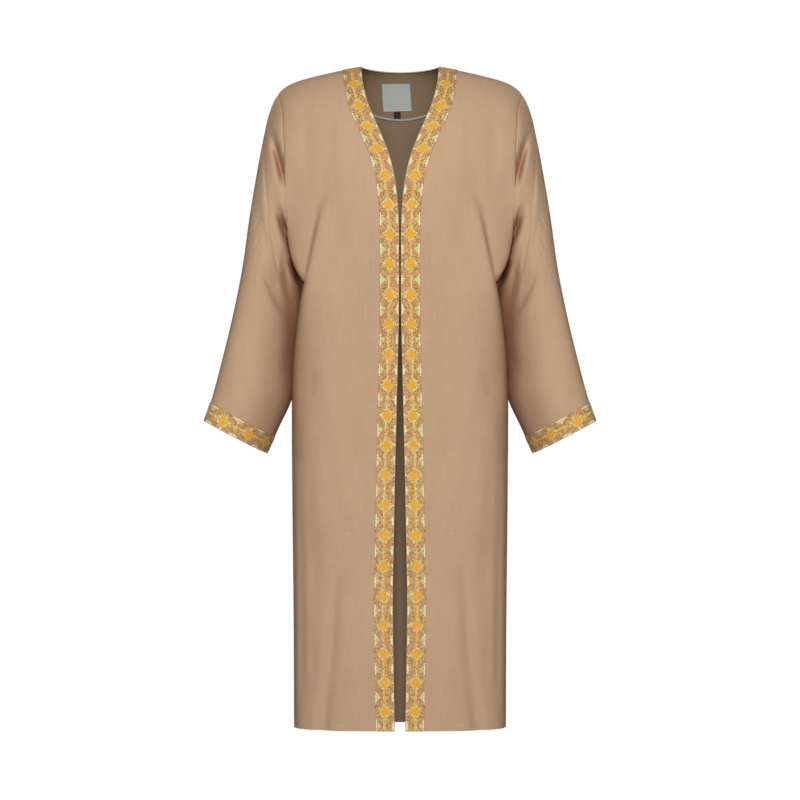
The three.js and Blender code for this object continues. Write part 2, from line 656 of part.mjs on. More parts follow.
// Everything within a distance of the back neck edge, run on a little in front of the shoulder seams.
function nearNeckEdge(distance) {
  const steps = 22;
  const edge = [];
  for (let i = 0; i <= steps; i += 1) {
    const x = NECK_HALF * Math.cos((Math.PI * i) / steps);
    const { y, z } = neckLine(Math.abs(x));
    edge.push(new THREE.Vector3(x, y, z));
  }
  edge.unshift(new THREE.Vector3(NECK_HALF, -8, 0));
  edge.push(new THREE.Vector3(-NECK_HALF, -8, 0));
  const discs = edge.map((p, i) => {
    const ahead = edge[Math.min(i + 1, edge.length - 1)].clone().sub(edge[Math.max(i - 1, 0)]).normalize();
    const side = ahead.clone().cross(new THREE.Vector3(0, 0, 1)).normalize();
    const up = side.clone().cross(ahead);
    return Array.from({ length: 24 }, (_, k) => {
      const angle = (k * Math.PI) / 12;
      const q = p.clone().addScaledVector(side, distance * Math.cos(angle));
      q.addScaledVector(up, distance * Math.sin(angle));
      return [q.x, q.y, q.z];
    });
  });
  const lengths = discs.slice(1).map((disc, i) => Manifold.hull([...discs[i], ...disc]));
  return Manifold.union(lengths);
}

// ---- Finishes and assembly -----------------------------------------------------------------------------
const finish = (color, roughness) =>
  new THREE.MeshStandardMaterial({ color, roughness, metalness: 0, side: THREE.DoubleSide });
const FINISH = {
  cloth: finish(0xbc9f82, 0.9),
  tape: finish(0xc79a4a, 0.55),
  binding: finish(0xa9a093, 0.8),
  label: finish(0x9a9b98, 0.5),
  tag: finish(0x1b1c1c, 0.6),
};

const coat = new THREE.Group();
coat.name = "manteau";
function add(name, geometry, look) {
  const mesh = new THREE.Mesh(geometry, FINISH[look]);
  mesh.name = name;
  coat.add(mesh);
}

// Adds a piece made for the left side and its mirror image for the right.
function addPair(name, geometry, look) {
  add(`${name}_left`, geometry, look);
  const other = geometry.clone().applyMatrix4(new THREE.Matrix4().makeScale(-1, 1, 1));
  const index = Array.from(geometry.index.array);
  for (let i = 0; i < index.length; i += 3) [index[i], index[i + 1]] = [index[i + 1], index[i]];
  other.setIndex(index);
  add(`${name}_right`, other, look);
}

const range = (from, to) => Array.from({ length: to - from + 1 }, (_, i) => from + i);
const hemmed = (row) => -(CLOTH + (row <= 2 ? HEM_STEP : 0)); // rows 0 to 2 hold the turned-up hem

const front = surface(frontGrid());
const back = surface(backGrid());
const sleeve = surface(sleeveGrid(), true);
sewBody(front, back, sleeve);

addPair("front", wall(front, hemmed, 0), "cloth");
add("back", wall(back, hemmed, 0), "cloth");
addPair("sleeve", wall(sleeve, -CLOTH, 0), "cloth");

const allRows = range(0, LEVELS.length - 1);
const tape = part(front, allRows, range(0, TAPE_COLUMNS));
addPair("front_tape", wall(tape, SEAM, SEAM + TAPE_THICK), "tape");

const rings = sleeve.grid.length;
const cuff = part(sleeve, range(rings - 3, rings - 1), range(0, sleeve.grid[0].length - 1));
addPair("cuff_tape", wall(cuff, SEAM, SEAM + TAPE_THICK), "tape");

// The upper middle of the back, which carries the neck tape outside and the facing inside.
const upperRows = allRows.filter((i) => back.grid[i][NECK_COLUMNS + BACK_COLUMNS].z > -FACING.drop - 45);
const topEdge = back.grid.at(-1);
const middle = range(0, topEdge.length - 1).filter((j) => Math.abs(topEdge[j].x) < FACING.halfWidth + 25);
const upper = part(back, upperRows, middle);
const layer = (from, thick) => solidFrom(wall(upper, from, from + thick));

add("back_neck_tape", geometryOf(layer(SEAM, TAPE_THICK).intersect(nearNeckEdge(TAPE_WIDTH))), "tape");

const facingFace = -(CLOTH + SEAM + FACING.thick);
const facing = layer(facingFace, FACING.thick).intersect(throughBack(halfMoon()));
add("neck_facing", geometryOf(facing), "cloth");
const rim = throughBack(halfMoon()).subtract(throughBack(halfMoon(BINDING.width)));
const binding = layer(facingFace - SEAM - BINDING.thick, BINDING.thick).intersect(rim);
add("facing_binding", geometryOf(binding), "binding");
for (const [name, patch, look] of [
  ["label", LABEL, "label"],
  ["size_tag", SIZE_TAG, "tag"],
]) {
  const sheet = layer(facingFace - SEAM - patch.thick, patch.thick);
  add(name, geometryOf(sheet.intersect(throughBack(patchOutline(patch)))), look);
}

export default coat;
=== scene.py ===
"""Looks of a long open-fronted coat in slubbed cloth, edged with woven gold tape, around its CAD solids.

The forms repeat the solids' own sections and folds on a finer grid. Sizes are in millimetres and
become metres when a mesh is made. -Y is the coat's front, +X the wearer's left and Z runs up.
"""

import math

import bpy
import numpy as np
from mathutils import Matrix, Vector
from mathutils.bvhtree import BVHTree


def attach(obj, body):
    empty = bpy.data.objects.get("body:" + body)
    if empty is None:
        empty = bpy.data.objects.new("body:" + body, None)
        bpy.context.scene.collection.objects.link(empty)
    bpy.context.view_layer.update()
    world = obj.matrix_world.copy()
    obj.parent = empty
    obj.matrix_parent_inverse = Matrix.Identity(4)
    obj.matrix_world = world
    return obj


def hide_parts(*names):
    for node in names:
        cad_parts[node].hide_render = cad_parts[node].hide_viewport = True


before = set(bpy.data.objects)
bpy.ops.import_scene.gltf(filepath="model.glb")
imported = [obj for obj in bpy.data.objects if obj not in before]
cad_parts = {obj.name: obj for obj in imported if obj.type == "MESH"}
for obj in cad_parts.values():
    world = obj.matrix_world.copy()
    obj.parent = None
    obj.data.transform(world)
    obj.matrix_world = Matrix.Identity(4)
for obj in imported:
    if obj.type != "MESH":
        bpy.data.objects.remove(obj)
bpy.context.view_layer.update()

MM = 0.001

# ---- Driving sizes, as in the solids ----
LENGTH = 1143.0
NECK_HALF = 66.5
NECK_BACK = 55.0
NECK_DROP = 4.0
SHOULDER_HALF = 212.0
SHOULDER_DROP = 48.0
SHOULDER_SLOPE = 33.0
SHOULDER_CURVE = 1.2
TIP_ROUNDING = 10
ARMPIT = 376.0
TAPE_WIDTH = 33.0
HEM_DEPTH = 12.0
FRONT_ROUNDING = 120.0
BACK_ROUNDING = 70.0
BACK_SECTION = 2.9  # power of the back's rounded section
BACK_YOKE = 1.25  # and what it becomes in the upper back
EDGE_TURN = 48  # power of a row's turn to its outer edge
SLEEVE_SECTION = 2.2
SLEEVE_TUCK = 3  # how late a sleeve's section turns back towards its inner edge
FACING_HALF = 108.0
FACING_DROP = 86.0
BINDING_WIDTH = 3.6

# ---- Sizes of the visible pieces ----
CLOTH = 1.1  # walls of the visible cloth
HEM_STEP = 0.9  # what the turned-up cloth adds
TAPE_LIFT = 0.25  # between the cloth and the tape's underside
TAPE_THICK = 0.8
SEAM_PUFF = 1.4  # how far the cloth rises beside a seam, and over what distance
SEAM_REACH = 2.6
REPEAT = 50.8  # of the tape's pattern
DIAMOND_AT = 35.5  # first diamond above the hem
CUFF_DIAMOND_X = 308.0  # where a diamond lies on the front of the cuff
# Where each piece lies on the bolt of cloth, so that no two share their slubs.
BACK_CLOTH = 700
SLEEVE_CLOTH = (1500, 60)
FACING_CLOTH = (2300, 400)
# Faint unevenness of each piece: the seed of its random waves and their size.
RIPPLE = {
    "front": (11, 0.55), "back": (23, 0.55), "sleeve_front": (37, 0.5), "sleeve_back": (41, 0.5),
}


def table(names, rows):
    """A dict of columns from rows of numbers."""
    return dict(zip(names.split(), np.array(rows, float).T))


# In each table down is the distance below the shoulder neck point.
# Body sections below the armpit: half width, Y of the side seam, half depths.
BODY = table("down half side front back", [
    (376, 164.5, 10, 113, 84), (408, 171.3, 14, 111, 81), (446, 177, 18, 108, 78),
    (528, 185.8, 22, 104, 82), (600, 187.4, 20, 102, 89), (760, 186.3, 16, 99, 90),
    (950, 184, 10, 94, 86), (1143, 183.2, 5, 88, 82),
])
# Depths of the chest and the upper back.
CHEST = table("down front back", [
    (0, 70, 66), (60, 82, 74), (130, 96, 85), (200, 110, 91), (270, 117, 91),
    (330, 117, 88), (376, 113, 84),
])
# The armhole seam from the shoulder tip to the underarm: X and Y on the front and on the back.
ARMHOLE = table("down front_x front back_x back", [
    (48, 212, 0, 212, 0), (74, 203.8, -34, 203.8, 33), (110, 201, -54, 199, 51),
    (165, 198.3, -66, 194, 61), (215, 196.3, -68, 191, 63), (262, 194.3, -61, 189, 58),
    (296, 192.8, -47, 186, 48), (326, 188.3, -28, 182, 38), (348, 181, -11, 176.5, 27),
    (364, 172.6, 1, 170.5, 18), (376, 164.5, 10, 164.5, 10),
])
# The front edge: half of the gap between the fronts, and the neckline above it.
FRONT_EDGE = table("down x", [
    (0, 66.5), (22, 64.8), (45, 61.2), (72, 53.6), (97, 43), (123, 32), (149, 21.5),
    (180, 12.5), (211, 7), (235, 4.4), (265, 2.4), (310, 1.6), (420, 1.7), (475, 2.7),
    (543, 4.3), (611, 6.0), (679, 7.7), (764, 9.4), (850, 11.1), (918, 11.9),
    (1003, 11.3), (1071, 10.2), (1143, 8.9),
])
# Sleeve sections from the armhole to the cuff: outer edge, inner edge and half depth.
SLEEVE = table("share out_x out_down out_y in_x in_down in_y depth", [
    (0.0, 212, 48, 0, 164.5, 376, 10, 60), (0.05, 221, 66, -2, 168.6, 387, 19, 58),
    (0.12, 229.8, 94, -5, 170.8, 400, 31, 57), (0.25, 244, 165, -10, 173.7, 423, 43, 55),
    (0.4, 259, 257, -18, 177.6, 453, 50, 52), (0.55, 271.8, 350, -26, 181.7, 488, 54, 50),
    (0.7, 289.8, 441, -34, 185, 528, 54, 48), (0.85, 311, 529, -42, 189.2, 575, 38, 45),
    (0.93, 323.7, 576, -45, 211.5, 625, 18, 43), (1.0, 336.3, 613, -47, 231.5, 669, 6, 40),
])
# The drape line on each front, beyond which the cloth lies deeper by step.
DRAPE = table("down x step soft", [
    (170, 92, 0, 26), (205, 109, 4, 16), (238, 130, 9, 8), (275, 140.5, 13, 4),
    (313, 148.5, 14, 3), (348, 156, 13, 3), (374, 161.5, 9, 3), (392, 166, 0, 4),
])
# How far out a row's curve reaches, and the powers of its rounded section.
FRONT_SECTION = table("down reach across depth", [
    (0, 212, 2.9, 1.05), (190, 197.5, 2.9, 1.05), (235, 195.8, 3.0, 1.4), (290, 194, 3.5, 2.4),
    (340, 190.5, 4.8, 4.0), (376, 187.5, 6.5, 6.2), (410, 186, 5.2, 5.2), (470, 186.5, 3.8, 3.8),
    (560, 188, 3.0, 3.0), (1143, 183.2, 2.9, 2.9),
])
# Where the middle of the front's columns lies, so that they are closest at the drape line.
GUIDE = table("down share", [(0, 0.5), (170, 0.5), (400, 0.74), (1143, 0.7)])
# How much longer than the edge the ribbon is at each height, as it is eased in when sewn.
RIBBON = table("down eased", [
    (0, 29), (28, 22.5), (72, 18.5), (109, 10), (147, 2), (193, 0), (345, 0), (500, 1.5), (800, 5.2),
    (930, 6.6), (1010, 5), (1060, 3), (1143, -0.5),
])
# Soft troughs (or ridges, where deep is negative) along a bowed line on one piece.
FOLDS = [dict(zip("piece x down end_x end_down mid width deep fade".split(), row)) for row in [
    ("front", 106, 820, 134, 1160, 4, 11, 7, 0.35),
    ("front", 150, 700, 160, 1160, 0, 20, 3, 0.45),
    ("front", 164, 60, 158, 225, 0, 13, 3.5, 0.4),
    ("front", 118, 70, 116, 175, 0, 10, 2.5, 0.4),
    ("front", 163, 500, 168, 625, 0, 7, 3, 0.4),
    ("back", 128, 110, 120, 420, 6, 18, 6, 0.4),
    ("back", 64, 420, 78, 1170, 6, 17, 7, 0.4),
    ("back", 128, 560, 142, 1180, -4, 15, 7, 0.4),
    ("back", 8, 470, -6, 1170, 0, 20, 5, 0.45),
    ("sleeve_front", 228, 98, 196, 226, 3, 7, 17, 0.4),
    ("sleeve_front", 213, 236, 191, 312, 0, 7, 16, 0.4),
    ("sleeve_front", 201, 290, 177, 440, 0, 9, -11, 0.35),
    ("sleeve_front", 238, 150, 212, 340, -9, 7, -4, 0.4),
    ("sleeve_front", 225, 350, 195, 432, -4, 8, 7, 0.4),
    ("sleeve_back", 222, 130, 200, 330, 4, 12, 7, 0.45),
    ("sleeve_back", 262, 300, 205, 440, 0, 11, 6, 0.4),
    ("sleeve_back", 282, 380, 214, 500, 0, 11, 5, 0.4),
    # Creases too fine for the solids: the cleft under the arm, then thin ones.
    ("sleeve_front", 208, 256, 192, 308, 0, 5, 15, 0.4),
    ("sleeve_front", 222, 130, 197, 214, 3, 6, 8, 0.3),
    ("sleeve_front", 196, 290, 184, 338, 0, 3, 30, 0.3),
    ("sleeve_front", 186, 330, 171, 384, 0, 6, 55, 0.3),
    ("sleeve_front", 173, 372, 168, 404, 0, 4, 40, 0.4),
    ("sleeve_front", 235, 122, 208, 368, -6, 2.6, 2.2, 0.15),
    ("sleeve_front", 239, 258, 251, 290, 0, 3, 2.2, 0.4),
    ("sleeve_front", 240, 290, 254, 322, 2, 3, 2.4, 0.4),
    ("sleeve_front", 234, 308, 250, 344, 0, 3, 1.8, 0.4),
    ("sleeve_front", 246, 232, 256, 262, 0, 3, 1.6, 0.4),
    ("sleeve_front", 237, 346, 197, 436, -5, 5, 4.5, 0.35),
    ("sleeve_front", 178, 440, 214, 552, 5, 7, 4, 0.4),
    ("sleeve_front", 199, 446, 182, 482, 0, 3, 2.4, 0.4),
    ("sleeve_front", 201, 468, 185, 506, 1, 3.5, 2.6, 0.4),
    ("sleeve_front", 205, 494, 190, 522, 0, 3, 1.8, 0.4),
    ("front", 154, 508, 156, 588, 0, 5, 1.8, 0.4),
    ("front", 172, 700, 168, 1140, 2, 6, 2.6, 0.25),
    ("front", 158, 780, 156, 1130, -2, 7, -1.4, 0.3),
    ("front", 150, 640, 158, 800, 2, 8, 1.8, 0.4),
    ("front", 142, 496, 161, 606, 2, 6, 2.2, 0.4),
    ("sleeve_back", 236, 190, 246, 262, 0, 3, 1.6, 0.4),
    ("sleeve_back", 240, 240, 254, 318, 2, 3.5, 1.8, 0.4),
    ("sleeve_back", 205, 452, 188, 500, 0, 3.5, 2.2, 0.4),
    ("back", 146, 330, 162, 402, 3, 6, 3, 0.4),
    ("back", 150, 470, 160, 600, -2, 6, 2.4, 0.4),
]]


# ---- Small tools ----
def clamp(v, low=0.0, high=1.0):
    return np.clip(v, low, high)


def mix(a, b, share):
    return a + (b - a) * share


def ease(v):
    v = clamp(v)
    return v * v * (3 - 2 * v)


def quarter_round(v):
    return np.sqrt(1 - (1 - clamp(v)) ** 2)


def smooth(columns, key, column):
    """A smooth function through one column of a table, read by its key column."""
    at, value = columns[key], columns[column]
    before = np.r_[0, np.arange(len(at) - 1)]
    after = np.r_[np.arange(1, len(at)), len(at) - 1]
    slope = (value[after] - value[before]) / (at[after] - at[before])

    def read(position):
        p = clamp(np.asarray(position, float), at[0], at[-1])
        i = np.clip(np.searchsorted(at, p) - 1, 0, len(at) - 2)
        span = at[i + 1] - at[i]
        s = (p - at[i]) / span
        bend = slope[i] * s * (1 - s) ** 2 - slope[i + 1] * s * s * (1 - s)
        return mix(value[i], value[i + 1], s * s * (3 - 2 * s)) + span * bend

    return read


def readers(columns, key):
    return {name: smooth(columns, key, name) for name in columns if name != key}


body, chest, armhole = readers(BODY, "down"), readers(CHEST, "down"), readers(ARMHOLE, "down")
sleeve_at, drape = readers(SLEEVE, "share"), readers(DRAPE, "down")
edge_x = smooth(FRONT_EDGE, "down", "x")
section, guide_share = readers(FRONT_SECTION, "down"), smooth(GUIDE, "down", "share")


def fold_depth(piece, x, down):
    depth = np.zeros(np.broadcast(x, down).shape)
    for f in (f for f in FOLDS if f["piece"] == piece):
        dx, dz = f["end_x"] - f["x"], f["end_down"] - f["down"]
        along = clamp(((x - f["x"]) * dx + (down - f["down"]) * dz) / (dx * dx + dz * dz))
        near_x = f["x"] + dx * along - f["mid"] * np.sin(math.pi * along)
        off = np.hypot(x - near_x, down - f["down"] - dz * along) / f["width"]
        taper = ease(along / f["fade"])
        if f["end_down"] <= LENGTH:
            taper = taper * ease((1 - along) / f["fade"] + 0.001)
        depth = depth + f["deep"] * taper * np.exp(-off * off)
    return depth


def ripple(piece, x, down):
    """Faint unevenness of hanging cloth: a few long soft waves, mostly running down."""
    seed, size = RIPPLE[piece]
    rng = np.random.default_rng(seed)
    total = 0.0
    for _ in range(9):
        across = rng.uniform(45, 130)
        along = rng.uniform(180, 700)
        phase = rng.uniform(0, 2 * math.pi)
        total = total + np.sin(2 * math.pi * (x / across + down / along) + phase)
    return total * size / 3


# ---- The body's surface ----
def shoulder_line(x, end_x=SHOULDER_HALF):
    share = clamp((x - NECK_HALF) / (end_x - NECK_HALF))
    tip = (SHOULDER_DROP - SHOULDER_SLOPE) * share**TIP_ROUNDING
    return -SHOULDER_SLOPE * share**SHOULDER_CURVE - tip


def neck_line(x):
    """Y and Z of the back neck's edge."""
    share = clamp(1 - (x / NECK_HALF) ** 2)
    return NECK_BACK * np.sqrt(share), -NECK_DROP * share


def level_down(level):
    """Height of a row's inner end below the shoulder neck point. Level is 0 at the hem, 1 at the armpit
    and 2 at the shoulder."""
    return mix(LENGTH, ARMPIT, level) if level <= 1 else ARMPIT * (2 - level)


def row_end(face, level):
    """X and Y where a row ends at the side seam or the armhole."""
    low = mix(LENGTH, ARMPIT, clamp(level))
    high = ARMPIT - clamp(level - 1) * (ARMPIT - SHOULDER_DROP)
    skirt = level <= 1
    x = np.where(skirt, body["half"](low), armhole[face + "_x"](high))
    y = np.where(skirt, body["side"](low), armhole[face](high))
    return x, y


def row_height(face, level, x):
    end_x, _ = row_end(face, level)
    top = shoulder_line(x, end_x)
    if face == "back":
        top = np.where(x < NECK_HALF, neck_line(x)[1], top)
    return np.where(level <= 1, mix(-LENGTH, -ARMPIT, level), -ARMPIT + (level - 1) * (ARMPIT + top))


def body_point(face, level, x):
    """Points of the outer surface, x at or beyond 0."""
    level, x = np.broadcast_arrays(np.asarray(level, float), np.asarray(x, float))
    end_x, end_y = row_end(face, level)
    share = clamp(x / end_x)
    rising = clamp(level - 1)
    low = mix(LENGTH, ARMPIT, clamp(level))
    high = ARMPIT * (1 - rising)
    at = np.where(level <= 1, low, high)
    reach = np.maximum(end_x, section["reach"](at))
    if face == "front":
        roundness = (1 - clamp(x / reach) ** section["across"](at)) ** (1 / section["depth"](at))
    else:
        reach = mix(end_x, reach, ease((at - 230) / 70))
        power = mix(BACK_SECTION, BACK_YOKE, ease(rising / 0.5))
        roundness = (1 - clamp(x / reach) ** BACK_SECTION) ** (1 / power)
    roundness = roundness * (1 - share**EDGE_TURN) ** (1 / 6)
    if face == "front":
        upper = chest["front"](high) * quarter_round(high / FRONT_ROUNDING)
    else:
        upper = mix(neck_line(x)[0], chest["back"](high), quarter_round(high / BACK_ROUNDING))
    full = np.where(level <= 1, body[face](low), upper)
    sign = -1 if face == "front" else 1
    y = end_y + (sign * full - end_y) * roundness
    z = row_height(face, level, x)
    down = -z
    inwards = fold_depth(face, x, down)
    inwards = inwards + ripple(face, x, down)
    if face == "back":
        inwards = inwards + fold_depth(face, -x, down)
    else:
        beyond = (x - drape["x"](down)) / drape["soft"](down)
        inwards = inwards + drape["step"](down) / (1 + np.exp(-2.2 * beyond))
    hold = (1 - share**30) * ease((down - 8) / 40)
    return np.stack([x, y - sign * inwards * hold, z], axis=-1)


def trace_row(face, level, start, steps=260):
    """x and distance walked along a row, from its inner to its outer end."""
    end_x, _ = row_end(face, level)
    x = end_x * np.sin(np.linspace(math.asin(min(1, start / end_x)), math.pi / 2, steps + 1))
    p = body_point(face, level, x)
    walked = np.r_[0, np.cumsum(np.linalg.norm(np.diff(p, axis=0), axis=1))]
    return x, walked, p


HEM_ROWS = [0, 1.0, 2.5, 5, 8, 11.2, 12.0, 12.6, 14, 17, 21, 26]
SKIRT_ROWS = 165
YOKE_ROWS = 92
TAPE_COLUMNS = 12
FRONT_COLUMNS = 64
BACK_COLUMNS = 62


def make_levels():
    skirt_height = LENGTH - ARMPIT
    hem = np.array(HEM_ROWS) / skirt_height
    skirt = np.linspace(hem[-1], 1, SKIRT_ROWS + 1)[1:]
    share = np.arange(1, YOKE_ROWS + 1) / YOKE_ROWS
    yoke = 1 + mix(share, np.sin(share * math.pi / 2), 0.55)
    return np.r_[hem, skirt, yoke]


LEVELS = make_levels()
ARMPIT_ROW = len(HEM_ROWS) + SKIRT_ROWS - 1


def tape_span(level):
    """How far to walk along a row to cross the tape squarely."""
    step = 0.004
    low, high = max(0, level - step), min(2, level + step)
    a = body_point("front", low, edge_x(level_down(low)))
    b = body_point("front", high, edge_x(level_down(high)))
    x, walked, p = trace_row("front", level, float(edge_x(level_down(level))))
    along = (b - a) / np.linalg.norm(b - a)
    across = body_point("front", level, np.interp(TAPE_WIDTH / 2, walked, x)) - p[0]
    across = across / np.linalg.norm(across)
    return TAPE_WIDTH / math.sqrt(max(0.2, 1 - float(along @ across) ** 2))


def front_grid():
    """Rows of the left front from the hem up. Its first columns are as wide as the tape."""
    grid, uv = [], []
    for level in LEVELS:
        down = level_down(level)
        start = float(edge_x(down))
        x, walked, _ = trace_row("front", level, start)
        span = tape_span(level)
        guide = float(guide_share(down))
        half = FRONT_COLUMNS // 2
        rest = np.r_[np.linspace(0, guide, half + 1)[1:], np.linspace(guide, 1, half + 1)[1:]]
        at = np.r_[np.linspace(0, span, TAPE_COLUMNS + 1), span + (walked[-1] - span) * rest]
        row = body_point("front", level, np.interp(at, walked, x))
        grid.append(row)
        uv.append(np.stack([start + at, -row[:, 2]], axis=-1))
    return np.array(grid), np.array(uv)


def back_grid():
    grid, uv = [], []
    for level in LEVELS:
        x, walked, _ = trace_row("back", level, 0.0)
        share = np.linspace(0, 1, BACK_COLUMNS + 1)
        at = walked[-1] * mix(share, np.sin(share * math.pi / 2), 0.3)
        half = body_point("back", level, np.interp(at, walked, x))
        other = half[1:] * [-1, 1, 1]
        row = np.concatenate([half[::-1], other])
        grid.append(row)
        u = np.r_[at[::-1], -at[1:]]
        uv.append(np.stack([u + BACK_CLOTH, -row[:, 2]], axis=-1))
    return np.array(grid), np.array(uv)


# ---- The sleeve's surface ----
def sleeve_point(share, rise, face):
    """Points of the sleeve: share runs from the armhole to the cuff, rise from the underarm to the tip."""
    across = 1 - rise
    down0 = ARMPIT - rise * (ARMPIT - SHOULDER_DROP)
    seam_x, seam_y = armhole[face + "_x"](down0), armhole[face](down0)
    at = {name: read(share) for name, read in sleeve_at.items()}
    first = {name: read(0.0) for name, read in sleeve_at.items()}
    leaving = 1 - ease(share / 0.6)
    x = mix(at["out_x"], at["in_x"], across)
    x = x + (seam_x - mix(first["out_x"], first["in_x"], across)) * leaving
    down = mix(at["out_down"], at["in_down"], across)
    down = down + (down0 - mix(first["out_down"], first["in_down"], across)) * leaving
    sign = -1 if face == "front" else 1
    roundness = (1 - abs(2 * across - 1) ** SLEEVE_SECTION) ** (1 / SLEEVE_SECTION)
    centre = mix(at["out_y"], at["in_y"], across**SLEEVE_TUCK)
    tube = centre + sign * at["depth"] * roundness
    relief = fold_depth("sleeve_" + face, x, down)
    relief = relief + ripple("sleeve_" + face, x, down)
    relief = relief * ease(share / 0.008) * roundness
    joined = ease(share / mix(0.07, 0.42, ease(rise / 0.45)))
    y = mix(seam_y, tube, joined) - sign * relief
    return np.stack(np.broadcast_arrays(x, y, -down), axis=-1)


SLEEVE_RINGS = 165
CUFF_RINGS = 8


def sleeve_grid():
    """Rings of the left sleeve from the armhole down. Its last rings are as wide as the tape."""
    rise = LEVELS[ARMPIT_ROW:] - 1
    stations = [(r, "back") for r in rise[:-1]] + [(r, "front") for r in rise[:0:-1]]
    columns = []
    for r, face in stations:
        end = sleeve_point(np.array([0.99, 1.0]), r, face)
        cuff = TAPE_WIDTH / (np.linalg.norm(end[1] - end[0]) / 0.01)
        shares = np.linspace(0, 1, SLEEVE_RINGS + 1) ** 1.1 * (1 - cuff)
        shares = np.r_[shares, np.linspace(1 - cuff, 1, CUFF_RINGS + 1)[1:]]
        columns.append(sleeve_point(shares, r, face))
    grid = np.array(columns).transpose(1, 0, 2)
    round_it = np.linalg.norm(np.roll(grid, -1, axis=1) - grid, axis=2)
    u = np.concatenate([0 * round_it[:, :1], np.cumsum(round_it, axis=1)], axis=1)
    along = np.linalg.norm(np.diff(grid, axis=0), axis=2).mean(axis=1)
    v = np.r_[0, np.cumsum(along)][:, None] + 0 * u
    return grid, np.stack([u, v], axis=-1) + SLEEVE_CLOTH  # u starts at the underarm seam


# ---- Meshes ----
def grid_normals(grid, tube=False):
    up = np.gradient(grid, axis=0)
    if tube:
        across = np.roll(grid, -1, axis=1) - np.roll(grid, 1, axis=1)
    else:
        across = np.gradient(grid, axis=1)
    n = np.cross(across, up)
    return n / np.maximum(np.linalg.norm(n, axis=2, keepdims=True), 1e-9)


def make_mesh(name, points, faces, material, uv, smooth_angle=35):
    """A mesh from points, faces and one UV for each corner of each face."""
    mesh = bpy.data.meshes.new(name)
    faces = np.asarray(faces)
    mesh.vertices.add(len(points))
    mesh.vertices.foreach_set("co", (np.asarray(points) * MM).ravel())
    mesh.loops.add(faces.size)
    mesh.loops.foreach_set("vertex_index", faces.ravel())
    mesh.polygons.add(len(faces))
    mesh.polygons.foreach_set("loop_start", np.arange(len(faces)) * faces.shape[1])
    layer = mesh.uv_layers.new(name="cloth")
    layer.data.foreach_set("uv", np.asarray(uv, float).ravel())
    mesh.update(calc_edges=True)
    mesh.polygons.foreach_set("use_smooth", np.ones(len(faces), bool))
    mesh.set_sharp_from_angle(angle=math.radians(smooth_angle))
    mesh.validate()
    mesh.materials.append(material)
    obj = bpy.data.objects.new(name, mesh)
    bpy.context.scene.collection.objects.link(obj)
    return obj


def wall(outer, inner, uv, tube=False):
    """Points, faces and corner UVs of a closed wall between two matching grids.

    A tube's UVs have one column more than its points, so that a pattern can run on to the seam.
    """
    rows, columns = outer.shape[:2]
    index = np.arange(rows * columns).reshape(rows, columns)
    if tube:
        index = np.concatenate([index, index[:, :1]], axis=1)
    where = np.arange(index.size).reshape(index.shape)
    out = np.stack([index, where], axis=-1)
    into = out + [rows * columns, 0]
    quads = []

    def add(a, b, c, d):
        quads.append(np.stack([a, b, c, d], axis=-2).reshape(-1, 4, 2))

    add(out[:-1, :-1], out[:-1, 1:], out[1:, 1:], out[1:, :-1])
    add(into[:-1, :-1], into[1:, :-1], into[1:, 1:], into[:-1, 1:])
    add(out[0, :-1], into[0, :-1], into[0, 1:], out[0, 1:])
    add(out[-1, :-1], out[-1, 1:], into[-1, 1:], into[-1, :-1])
    if not tube:
        add(out[:-1, 0], out[1:, 0], into[1:, 0], into[:-1, 0])
        add(out[:-1, -1], into[:-1, -1], into[1:, -1], out[1:, -1])
    points = np.concatenate([outer.reshape(-1, 3), inner.reshape(-1, 3)])
    quads = np.concatenate(quads)
    return points, quads[..., 0], uv.reshape(-1, 2)[quads[..., 1]]


def shell(name, grid, normal, uv, material, outer=0.0, inner=-CLOTH, tube=False, inside=None, turned=0):
    """A closed wall of cloth between two distances from a surface.

    Its inner face takes the inside material, a darker copy of the cloth painted as shade, apart from the
    first rows, where cloth is turned up.
    """
    far = np.broadcast_to(outer, grid.shape[:2])[..., None]
    near = np.broadcast_to(inner, grid.shape[:2])[..., None]
    points, faces, uvs = wall(grid + normal * far, grid + normal * near, uv, tube)
    obj = make_mesh(name, points, faces, material, uvs)
    if inside:
        rows, columns = grid.shape[0] - 1, grid.shape[1] - (not tube)
        which = np.zeros(len(faces), int)
        which[rows * columns + turned * columns: 2 * rows * columns] = 1
        obj.data.materials.append(inside)
        obj.data.polygons.foreach_set("material_index", which)
    return obj


def mirror(obj, name):
    """The same piece on the other side of the coat."""
    mesh = obj.data.copy()
    mesh.name = name
    co = np.empty(len(mesh.vertices) * 3)
    mesh.vertices.foreach_get("co", co)
    co = co.reshape(-1, 3) * [-1, 1, 1]
    mesh.vertices.foreach_set("co", co.ravel())
    mesh.flip_normals()
    mesh.update()
    other = bpy.data.objects.new(name, mesh)
    bpy.context.scene.collection.objects.link(other)
    return other


# ---- Materials ----
class Value:
    """A shader value that can be written with plain arithmetic."""

    def __init__(self, tree, socket):
        self.tree, self.socket = tree, socket

    def op(self, kind, *others):
        node = self.tree.nodes.new("ShaderNodeMath")
        node.operation = kind
        for i, v in enumerate((self, *others)):
            if isinstance(v, Value):
                self.tree.links.new(v.socket, node.inputs[i])
            else:
                node.inputs[i].default_value = v
        return Value(self.tree, node.outputs[0])

    def __add__(self, v): return self.op("ADD", v)
    def __sub__(self, v): return self.op("SUBTRACT", v)
    def __mul__(self, v): return self.op("MULTIPLY", v)
    def __truediv__(self, v): return self.op("DIVIDE", v)
    def __lt__(self, v): return self.op("LESS_THAN", v)
    def __gt__(self, v): return self.op("GREATER_THAN", v)
    __radd__ = __add__
    __rmul__ = __mul__

    def abs(self): return self.op("ABSOLUTE")
    def sin(self): return self.op("SINE")
    def floor(self): return self.op("FLOOR")
    def max(self, v): return self.op("MAXIMUM", v)
    def min(self, v): return self.op("MINIMUM", v)


